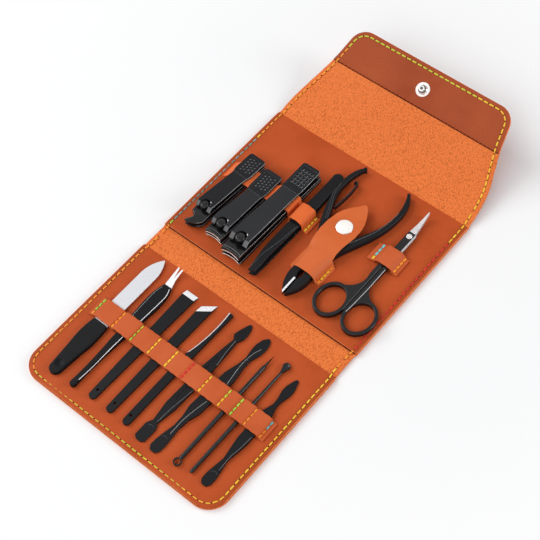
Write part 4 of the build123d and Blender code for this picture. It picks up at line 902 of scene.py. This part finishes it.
def sheath_row(y):
    """Left wall, top and right wall of the leather at one place, as (across, height) points."""
    left, right = between(TONGUE_OUTLINE, y, 1), between(TONGUE_OUTLINE, y, 2)
    level = tongue_level(y)
    arch = 2.3 * smooth_step((-11.0 - y) / 7.0)
    crown = 0.7 * smooth_step((-12.0 - y) / 8.0)
    top = []
    for t in [k / 10 for k in range(-10, 11)]:
        drop = arch * max(0.0, abs(t) - 0.45) ** 2 / 0.3025 + 0.25 * t * t * (1 - smooth_step((y + 17) / 10))
        ripple = 0.07 * sin(y * 2.1 + 0.5 * t) * smooth_step((-15.0 - y) / 4.0) * smooth_step(t * 2)
        height = level + crown * (1 - t * t) - drop + 0.1 * sin(y / 3.1) * t + ripple
        top.append((left + (right - left) * (t + 1) / 2, height))
    if y > SHEATH_HIGH:
        return [], top, []
    shoulder = level - arch
    corner = 1.6 * (1 - min(1.0, (SHEATH_HIGH - y) / 1.6)) ** 2
    left_wall = [
        (SHEATH_LEFT + FLAT - NIPPER_X + corner, FLAT), (left - 1.3, FLAT), (left - 0.8, FLAT + 0.5),
        (left - 0.6, shoulder * 0.45), (left - 0.45, shoulder * 0.78),
    ]
    right_wall = [
        (right + 0.45, shoulder * 0.8), (right + 0.7, shoulder * 0.5), (right + 1.0, FLAT + 0.6),
        (right + 1.6, FLAT), (right + 2.6, FLAT), (SHEATH_RIGHT - NIPPER_X - corner, FLAT),
    ]
    return left_wall, top, right_wall


def sheath_piece():
    """One leather from the sheath's mouth over the pivot to the tongue's tip."""
    bm = bmesh.new()
    rows = []
    count = 92
    for i in range(count + 1):
        y = SHEATH_LOW + (TONGUE_TIP - SHEATH_LOW) * i / count
        rows.append([
            [bm.verts.new(Vector((NIPPER_X + u, y, PANEL_TOP + z)) * MM) for u, z in part]
            for part in sheath_row(y)
        ])
    for a, b in zip(rows, rows[1:]):
        a, b = (sum(row, []) if b[0] else row[1] for row in (a, b))
        for k in range(len(a) - 1):
            bm.faces.new((a[k], a[k + 1], b[k + 1], b[k]))
    piece = to_object(bm, "nipper_sheath_leather", tongue_leather, crisp=60)
    thick = piece.modifiers.new("thickness", "SOLIDIFY")
    thick.thickness, thick.offset = STRAP_T * MM, 0.0
    rim = piece.modifiers.new("rim", "BEVEL")
    rim.width, rim.segments, rim.angle_limit = 0.25 * MM, 2, radians(50)
    apply_modifiers(piece)
    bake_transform(piece)
    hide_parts("nipper_sheath", "sheath_tongue")


sheath_piece()
bm = bmesh.new()
for x, thick in ((28.7, 0.76), (8.0, 0.4)):
    stitch_run(
        bm, lambda u, v, w: Vector((u, v, PANEL_TOP + STRAP_T + w)) * MM,
        [Vector((x, SHEATH_LOW + 0.4)), Vector((x, SHEATH_HIGH - 1.6))],
        lambda u, v: "orange" if v < -30 or v > -22 else "yellow", 3.3, 0.3, thick, 0.26,
    )
finish_piece(stitch_object(bm, "nipper_sheath_stitches"), "case_middle", "strap")


# ---------------------------------------------------------------- tools
FLUSH = 0.6
SHARP = 28.0
SINK = Vector((0, 0, 0.05))


def cad_mesh(node):
    bm = bmesh.new()
    bm.from_mesh(nodes[node].data)
    bmesh.ops.remove_doubles(bm, verts=bm.verts, dist=2e-6)
    bmesh.ops.dissolve_limit(bm, angle_limit=radians(FLUSH), verts=bm.verts, edges=bm.edges)
    return bm


class Turned:
    """A tool's own coordinates: across it, along it and up, from a place and a lean."""

    def __init__(self, x=0.0, y=0.0, z=0.0, lean=0.0):
        self.origin = Vector((x, y, z))
        self.turn = Matrix.Rotation(-radians(lean), 3, "Z")

    def inside(self, p):
        return self.turned(p - self.origin)

    def turned(self, n):
        return self.turn.transposed() @ n

    def outside(self, v):
        return self.origin + self.direction(v)

    def direction(self, v):
        return self.turn @ Vector(v)


PLAIN = Turned()


def dressed(
    node, materials, bevel, cuts=(), paint=None, own=PLAIN, rim=None, clamp=True, rounds=2, rim_bevel=None,
    soften=None, grow=0.0,
):
    """Copy of a CAD part with softened edges and painted faces, which stands for it.

    The rim test picks the edges whose rounding gets the last finish of the list: mostly a
    lighter painted highlight line, and on the curved knife its real ground edge. The soften
    test picks the places where edges are rounded at all.
    """
    bm = cad_mesh(node)
    bm.normal_update()
    for v in bm.verts:
        v.co += v.normal * grow * MM
    for point, normal in cuts:
        sliced(bm, own.outside(point) * MM, own.direction(normal))
    bm.normal_update()
    if paint:
        for face in bm.faces:
            face.material_index = paint(own.inside(face.calc_center_median() / MM), own.turned(face.normal))
    bmesh.ops.dissolve_limit(
        bm, angle_limit=radians(FLUSH), verts=bm.verts, edges=bm.edges, delimit={"MATERIAL"}
    )

    def middle(e):
        return own.inside((e.verts[0].co + e.verts[1].co) / 2 / MM)

    def is_sharp(e):
        if len(e.link_faces) != 2 or e.calc_face_angle(0) <= radians(SHARP):
            return False
        return not soften or soften(middle(e))

    def is_rim(e):
        return rim(middle(e), own.turned((e.link_faces[0].normal + e.link_faces[1].normal).normalized()))

    settings = {"segments": rounds, "profile": 0.5, "affect": "EDGES", "clamp_overlap": clamp}
    plain = [e for e in bm.edges if is_sharp(e)]
    rubbed = [e for e in plain if is_rim(e)] if rim else []
    if rubbed:
        last = len(materials) - 1
        bmesh.ops.bevel(bm, geom=rubbed, offset=(rim_bevel or bevel) * MM, material=last, **settings)
        plain = [e for e in bm.edges if is_sharp(e) and all(f.material_index != last for f in e.link_faces)]
    bmesh.ops.bevel(bm, geom=plain, offset=bevel * MM, **settings)
    piece = to_object(bm, node + "_finished", *materials)
    piece.modifiers.new("even_shading", "WEIGHTED_NORMAL").keep_sharp = True
    finish_piece(piece, body_of_node[node], slot_of_node[node], node)


def right_edge(c, n, upward=0.35):
    """Top edges on the right side, which take a lighter finish as a painted highlight line."""
    return n.x > 0.45 and n.z > upward


def flowing(points, step):
    """Smooth curve through the points, in short steps."""
    knots = [Vector(p) for p in points]
    out = []
    for i, (b, c) in enumerate(zip(knots, knots[1:])):
        a, d = knots[max(i - 1, 0)], knots[min(i + 2, len(knots) - 1)]
        n = max(1, round((c - b).length / step))
        for t in [k / n for k in range(n)]:
            curve = (2 * a - 5 * b + 4 * c - d) * t * t + (3 * b - a - 3 * c + d) * t ** 3
            out.append((2 * b + (c - a) * t + curve) / 2)
    return out + [knots[-1]]


def rod(name, body, slot, line, material, radius):
    """Thin round line through points in millimetres, slimmer at its two ends."""
    rings = []
    for i, p in enumerate(line):
        ahead = heading(line, i)
        side = ahead.cross(Vector((0, 0, 1))).normalized()
        up = side.cross(ahead)
        fat = radius * (0.4 if i in (0, len(line) - 1) else 1.0)
        rings.append([(p + side * x + up * y) * MM for x, y in circle(fat, 7)])
    bm = bmesh.new()
    loft(bm, rings)
    finish_piece(to_object(bm, name, material, crisp=60), body, slot)


def top_of(node):
    """Finder of a part's highest point over a place in its tool's own frame, in millimetres."""
    source = cad_mesh(node)
    tree = BVHTree.FromBMesh(source)
    source.free()

    def find(own, x, y):
        hit = tree.ray_cast(own.outside((x, y, 30.0)) * MM, Vector((0, 0, -1)))[0]
        return hit / MM if hit else None
    return find


def ridge(name, node, path, material, radius=0.2, own=PLAIN):
    """Thin raised line in a lighter finish along the top of a part, through (across, along) places: a painted
    highlight.
    """
    find = top_of(node)
    hits = [find(own, p.x, p.y) for p in flowing(path, 0.8)]
    rod(name, body_of_node[node], slot_of_node[node], [hit - SINK for hit in hits if hit], material, radius)


# Dark leather rods along the middle panel's front edge and the facing's pinked edge: painted shadow lines.
for name, body, reach, place, level, radius in (
    ("middle_leather_shade_line", "case_middle", 76, CREASE_2 + 0.15, 0.0, 0.34),
    ("facing_shade_line", "flap", 66, FACING_START - 0.1, 0.05, 0.42),
):
    line = [on_case(u, place, level) / MM for u in range(-reach, reach + 1, 4)]
    rod(name, body, "strap", line, edge_and_shadow_leather, radius)
# The file's sides take the bright ground steel; so do its right top edges, as a painted highlight.
dressed("file_blade", [file_steel, blade_steel], 0.2, paint=lambda c, n: 0 if n.z > 0.5 else 1, rim=right_edge)
# The handle's front and right top edges in bright steel: a painted highlight.
dressed(
    "file_handle", [plastic_black, blade_steel], 0.22,
    rim=lambda c, n: (n.y > 0.5 or n.x > 0.6 and c.y > -165) and n.z > 0.4,
)
dressed("trimmer_handle", [plastic_black], 0.15)
# Two lines along the edges of the trimmer's handle: painted highlights.
ridge(
    "trimmer_right_line", "trimmer_handle",
    [(-39.9, -93.4), (-38.1, -99.5), (-38.3, -112.0), (-38.8, -124.0), (-39.7, -136.0), (-40.6, -173.0)],
    blade_steel, 0.24,
)
ridge(
    "trimmer_left_line", "trimmer_handle", [(-44.6, -94.6), (-45.8, -100.0), (-45.7, -110.0), (-45.2, -124.0)],
    edge_steel, 0.17,
)
dressed("trimmer_fork", [blade_steel], 0.12)
# Ground tips in bright steel; the right top edges in lighter steel, a painted highlight.
for knife, ground_from in (("flat_knife", -93.0), ("slant_knife", -97.0)):
    dressed(
        knife, [black_steel, blade_steel, soft_edge], 0.2,
        paint=lambda c, n: 1 if c.y > ground_from and 0.3 < n.z < 0.99 else 0,
        rim=lambda c, n: right_edge(c, n) and c.y < -93,
    )
dressed(
    "curved_knife", [black_steel, blade_steel], 0.12,
    paint=lambda c, n: 1 if c.y > -119.5 and n.x < -0.1 and n.z > 0.1 and c.x < 1.5 else 0,
    rim=lambda c, n: n.x < -0.2 and n.z > 0.2 and c.y > -119.5, rim_bevel=0.55,
)
# Right top edges of the pushers, and lines along their shafts and necks, in lighter steel: painted highlights.
for tool in ("spear_pusher", "leaf_pusher", "small_pusher"):
    dressed(tool, [black_steel, facet_steel], 0.2, rim=right_edge, rim_bevel=0.4)
for name, material, path in (
    ("spear_upper", facet_steel, [(15.4, -95.0), (16.3, -106.1), (17.9, -117.0), (18.3, -121.0)]),
    ("spear_lower", facet_steel, [(17.7, -134.5), (16.6, -143.0), (15.2, -153.0), (14.3, -164.0)]),
    ("leaf_upper", edge_steel, [(31.2, -90.2), (29.2, -96.6), (28.8, -106.0), (30.2, -118.0), (30.6, -121.0)]),
    ("leaf_lower", edge_steel, [(28.6, -136.0), (26.8, -145.1), (25.5, -154.4), (25.3, -165.0)]),
    ("small_lower", facet_steel, [(63.9, -137.5), (63.2, -147.7), (62.2, -153.9), (62.2, -164.5)]),
    ("spear_neck", soft_edge, [(10.8, -168.5), (12.4, -167.4), (15.0, -167.6)]),
    ("leaf_neck", soft_edge, [(22.3, -168.6), (23.9, -167.6), (26.4, -168.4)]),
    ("small_neck", soft_edge, [(58.6, -168.0), (60.6, -166.2), (63.4, -167.0)]),
):
    ridge(name + "_line", name.split("_")[0] + "_pusher", path, material)
dressed("needle", [gloss_black], 0.1)
dressed("ear_pick", [gloss_black], 0.15)


# ---------------------------------------------------------------- nail clippers
# Name, x, front and lean; pad's start, end and width; post's place along the clipper and its head;
# half the width; and the heights of the two ground lips, where the clipper has them.
CLIPPERS = [
    ("small", -61.4, -50.3, 2.4, 47.4, 65.4, 13.2, 14.6, 2.9, 6.0, None),
    ("medium", -43.4, -48.5, 0.8, 40.4, 60.3, 13.6, 8.6, 3.2, 6.6, (1.7, 2.2, 4.8, 5.3)),
    ("large", -25.2, -53.1, 0.0, 59.6, 82.4, 13.6, 11.0, 3.4, 7.25, (1.8, 2.4, 6.0, 6.6)),
]
CORNERS = [(-1, -1), (1, -1), (1, 1), (-1, 1)]


def pad_grip(name, own, middle):
    """Grip on the lever's pad: small studs in a zigzag, or flat squares on the large clipper."""
    columns, rows = 4, 5
    pitch_x, pitch_y, half, height, slope, shift = 2.3, 2.35, 0.6, 0.3, 0.36, 0.25
    if name == "large":
        pitch_x, pitch_y, half, height, slope, shift = 2.55, 2.75, 1.05, 0.36, 0.3, 0.0
    lever = name + "_lever"
    find = top_of(lever)
    bm = bmesh.new()
    for i in range(columns):
        for j in range(rows):
            x = (i - (columns - 1) / 2) * pitch_x
            y = middle + (j - (rows - 1) / 2 + (shift if i % 2 else -shift)) * pitch_y
            foot = own.inside(find(own, x, y)).z - 0.1
            loft(bm, [
                [own.outside((x + reach * sx, y + reach * sy, level)) * MM for sx, sy in CORNERS]
                for reach, level in ((half, foot), (half - slope, foot + height))
            ])
    # Sides of the studs and squares are lighter, lightest where they face right or front: painted highlights.
    bm.normal_update()
    for face in bm.faces:
        if face.normal.z < 0.95:
            face.material_index = 2 if face.normal.x > 0.3 or face.normal.y < -0.3 else 1
    piece = to_object(bm, name + "_pad_grip", pad_steel, soft_edge, facet_steel, crisp=20)
    finish_piece(piece, body_of_node[lever], "black_steel")


for name, x, front, lean, pad_start, pad_end, pad_width, post_at, head, half, lips in CLIPPERS:
    own = Turned(x, front, 2.8, lean)
    lever, upper_arm = name + "_lever", name + "_upper_arm"

    def lip_paint(c, n):
        """The ground cutting lips at the very front."""
        if not lips or c.y > 1.4 or n.y > -0.6:
            return 0
        return 1 if lips[0] < c.z < lips[1] or lips[2] < c.z < lips[3] else 0

    def lever_paint(c, n):
        """The pad, and the lighter slopes at the ends of the lever's prongs, which are a painted highlight."""
        if c.y > pad_start + 0.3:
            return 1
        return 2 if c.y < post_at - 0.2 and n.z > 0.15 and n.y < -0.2 else 0

    # Right top edges of the arms in lighter steel: a painted highlight.
    for arm in (name + "_lower_arm", upper_arm):
        dressed(
            arm, [gloss_black, rose_steel, edge_steel], 0.2, own=own, paint=lip_paint,
            rim=lambda c, n: right_edge(c, n, 0.3) and c.y > 1.5, clamp=False,
        )
    # Right top edges of the lever in lighter steel: a painted highlight.
    dressed(
        lever, [dark_lever if name == "small" else lever_steel, pad_steel, facet_steel, edge_steel], 0.26, own=own,
        cuts=[((0, pad_start + 0.3, 0), (0, 1, 0))], paint=lever_paint,
        rim=lambda c, n: right_edge(c, n, 0.3) and c.z > 3.0 and c.x > 2.0, clamp=False,
    )
    dressed(name + "_post", [gloss_black], 0.12)
    dressed(name + "_rivet", [gloss_black], 0.12)
    pad_grip(name, own, (pad_start + pad_end) / 2 + 0.02 * (pad_end - pad_start))
    # Lines across the pad's start, round the post head and along the beak and the nose, in lighter steel: painted
    # highlights and glints.
    edge = pad_width / 2 - 1.2
    ridge(name + "_pad_line", lever, [(-edge, pad_start), (edge, pad_start)], soft_edge, 0.2, own)
    reach = head + 0.9
    around = [(reach * cos(radians(a)), post_at + reach * sin(radians(a))) for a in range(15, 86, 10)]
    ridge(name + "_post_halo", lever, around, facet_steel, 0.22, own)
    ridge(name + "_post_glint", lever, [(x + 0.15, y + 0.4) for x, y in around[3:6]], blade_steel, 0.36, own)
    if not lips:
        beak = [(-5.5, 8.9), (-3.4, 8.0), (-2.0, 6.0), (-2.5, 3.9), (-3.3, 2.0), (-4.2, 0.4)]
        ridge(name + "_beak_line", upper_arm, beak, facet_steel, 0.2, own)
        continue
    for arm, level in ((name + "_lower", (lips[0] + lips[1]) / 2), (name + "_upper", (lips[2] + lips[3]) / 2)):
        curve = [(half - 0.3) * (k / 6 - 1) for k in range(13)]
        line = [own.outside((u, 1.3 * (1 - (u / half) ** 2) - 0.02, level)) for u in curve]
        rod(arm + "_lip", body_of_node[arm + "_arm"], "black_steel", line, rose_steel, 0.27)
    nose = [((half - 0.5) * t, 2.5 + 0.9 * (1 - t * t)) for t in (-1.0, -0.5, 0.0, 0.5, 1.0)]
    ridge(name + "_nose_line", upper_arm, nose, facet_steel, 0.28 if name == "large" else 0.18, own)

# Right top edges of the tweezer leaves in lighter steel: a painted highlight.
for leaf in ("tweezer_lower_leaf", "tweezer_upper_leaf"):
    dressed(leaf, [black_steel, soft_edge], 0.28, rim=right_edge)


# ---------------------------------------------------------------- nipper, scissors and snaps
RIGHT_HALF = Turned(NIPPER_X, -22.0, 2.8, 1.25)
LEFT_HALF = Turned(NIPPER_X, -22.0, 2.8, -1.25)
JAW_LEFT, JAW_END = -1.35, -18.6
dressed(
    "nipper_right_half", [black_steel, blade_steel], 0.45, own=RIGHT_HALF,
    cuts=[((JAW_LEFT, 0, 0), (1, 0, 0)), ((0, JAW_END, 0), (0, 1, 0))],
    paint=lambda c, n: 1 if JAW_LEFT < c.x < 0.1 and c.y < JAW_END and n.z > 0.4 else 0,
)
dressed("nipper_left_half", [black_steel, soft_edge], 0.45, own=LEFT_HALF)
dressed("nipper_rivet", [gloss_black], 0.2)
dressed("nipper_spring", [gloss_black], 0.16, grow=0.25)
# A line along the spring's top in lighter steel: a painted highlight.
SPRING_LINE = [(-14.0, 38.7), (-12.9, 46.0), (-12.4, 54.0), (-13.0, 61.0)]
ridge("spring_line", "nipper_spring", SPRING_LINE, facet_steel, 0.22, LEFT_HALF)
# Lines along the nipper's handles and the upper tweezer leaf: painted highlights.
for name, node, material, radius, path in (
    ("left_handle_outer_line", "nipper_left_half", soft_edge, 0.22,
     [(4.9, 6.4), (1.7, 14.4), (-3.2, 24.6), (-4.9, 33.5)]),
    ("left_handle_inner_line", "nipper_left_half", soft_edge, 0.22,
     [(4.1, 5.2), (0.6, 13.6), (-4.1, 23.3), (-6.2, 31.9)]),
    ("right_handle_line", "nipper_right_half", facet_steel, 0.2,
     [(27.2, -1.5), (35.0, 14.6), (37.7, 26.9), (38.4, 36.5)]),
    ("tweezer_crease", "tweezer_upper_leaf", soft_edge, 0.22,
     [(-5.7, -10.5), (-6.7, -24.0), (-8.1, -35.0), (-9.3, -43.0), (-9.4, -52.0)]),
):
    ridge(name, node, path, material, radius)
SILVER_FROM = 30.5
# Bare steel blades; the shanks' right top edges in bright steel, a painted highlight.
for half in ("scissor_left_half", "scissor_right_half"):
    dressed(
        half, [gloss_black, scissor_steel, bright_line], 0.6, cuts=[((0, SILVER_FROM, 0), (0, 1, 0))],
        paint=lambda c, n: 1 if c.y > SILVER_FROM else 0,
        rim=lambda c, n: right_edge(c, n, 0.3) and 13.0 < c.y < SILVER_FROM, clamp=False, rounds=4,
        soften=lambda c: c.y < SILVER_FROM - 2.0,
    )
# A bright line along the right shank: a painted highlight.
SHANK_LINE = [(55.7, -40.0), (56.2, -32.4), (56.6, -19.1), (56.5, -1.6)]
ridge("scissor_shank_line", "scissor_right_half", SHANK_LINE, bright_line, 0.22)
dressed("scissor_screw", [nickel, scissor_steel], 0.4, rounds=4, paint=lambda c, n: 1 if n.z > 0.9 else 0)
for snap in ("sheath_stud", "closure_socket"):
    dressed(snap, [nickel], 0.12)
flap_up = Vector((0, -sin(tilt_at(STUD_AT)), cos(tilt_at(STUD_AT))))
stud_foot = on_case(0, STUD_AT, 0) / MM


def stud_paint(c, n):
    """Pale flange, bright sides, and a dark eye in the stud's middle: painted shade of its hollow top."""
    if n.dot(flap_up) < 0.7:
        return 1
    off = c - stud_foot
    return 2 if (off - flap_up * off.dot(flap_up)).length < 1.1 else 0


dressed("closure_stud", [cap_nickel, nickel, facet_steel], 0.12, paint=stud_paint)
dressed(
    "tongue_cap", [nickel, cap_nickel], 0.12,
    paint=lambda c, n: 1 if n.z > 0.93 and (Vector((c.x, c.y)) - SNAP).length < 4.9 else 0,
)


# ---------------------------------------------------------------- floor, light and camera
FLOOR_REACH = 3.0
SHADOWS_TO, WHITE_FROM = 0.13, 0.34
LIGHT_AIM = Vector((0, -0.03, 0))


def floor():
    """Paper that keeps the shadows near the case and turns into plain white further out."""
    mesh = bpy.data.meshes.new("floor")
    mesh.from_pydata([(FLOOR_REACH * x, FLOOR_REACH * y, 0) for x, y in CORNERS], [], [(0, 1, 2, 3)])
    plane = linked("floor", mesh)
    plane.location.z = -0.0004
    plane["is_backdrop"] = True
    s = Shader("floor_paper")
    s.set(Base_Color=(0.94, 0.94, 0.94, 1), Roughness=0.9, Specular_IOR_Level=0.1)
    far = s.add("ShaderNodeVectorMath", {0: s.place}, operation="LENGTH").outputs["Value"]
    inputs = {"From Min": SHADOWS_TO, "From Max": WHITE_FROM, "Value": far}
    fade = s.add("ShaderNodeMapRange", inputs, interpolation_type="SMOOTHSTEP").outputs[0]
    white = s.maths("MULTIPLY", fade, s.background_rays())
    s.end_with(white, s.surface, s.add("ShaderNodeEmission"), "Material Output")
    mesh.materials.append(s.material)


def studio():
    """Soft cool light from all round, plain white behind, and three lamps."""
    world = bpy.data.worlds.new("studio")
    bpy.context.scene.world = world
    world.use_nodes = True
    sky = Nodes(world.node_tree)
    light = sky.tree.nodes["Background"]
    sky.feed((0.95, 0.97, 1.0, 1), light.inputs["Color"])
    sky.feed(0.28, light.inputs["Strength"])
    white = sky.add("ShaderNodeBackground", {"Color": WHITE, "Strength": 1.0})
    sky.end_with(sky.background_rays(), light, white, "World Output")
    for name, place, width, height, power in (
        ("left", (-1.25, -0.3, 1.2), 1.3, 1.2, 19.0),
        ("right", (1.3, 0.6, 0.7), 0.5, 0.9, 11.0),
        ("front", (0.1, -1.4, 1.25), 1.4, 0.8, 12.0),
    ):
        lamp = bpy.data.lights.new(name, "AREA")
        lamp.shape = "RECTANGLE"
        lamp.size, lamp.size_y, lamp.energy = width, height, power
        holder = linked(name, lamp)
        holder.location = place
        holder.rotation_euler = (LIGHT_AIM - Vector(place)).to_track_quat("-Z", "Y").to_euler()


def photo_camera():
    azimuth, elevation, roll, distance = 0.7920, 1.0055, -0.1144, 0.79436
    target = Vector((-0.002383, -0.042202, 0.0))
    back = Vector((sin(azimuth) * cos(elevation), -cos(azimuth) * cos(elevation), sin(elevation)))
    right = (-back).cross(Vector((0, 0, 1))).normalized()
    up = right.cross(-back)
    axes = right * cos(roll) + up * sin(roll), up * cos(roll) - right * sin(roll), back
    data = bpy.data.cameras.new("photo_camera")
    data.lens, data.sensor_width, data.clip_start, data.clip_end = 85.02, 36.0, 0.01, 20
    camera = linked("photo_camera", data)
    camera.matrix_world = Matrix(axes).transposed().to_4x4()
    camera.location = target + back * distance
    bpy.context.scene.camera = camera


floor()
studio()
photo_camera()
bpy.context.scene.view_settings.view_transform = "Standard"

low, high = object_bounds()
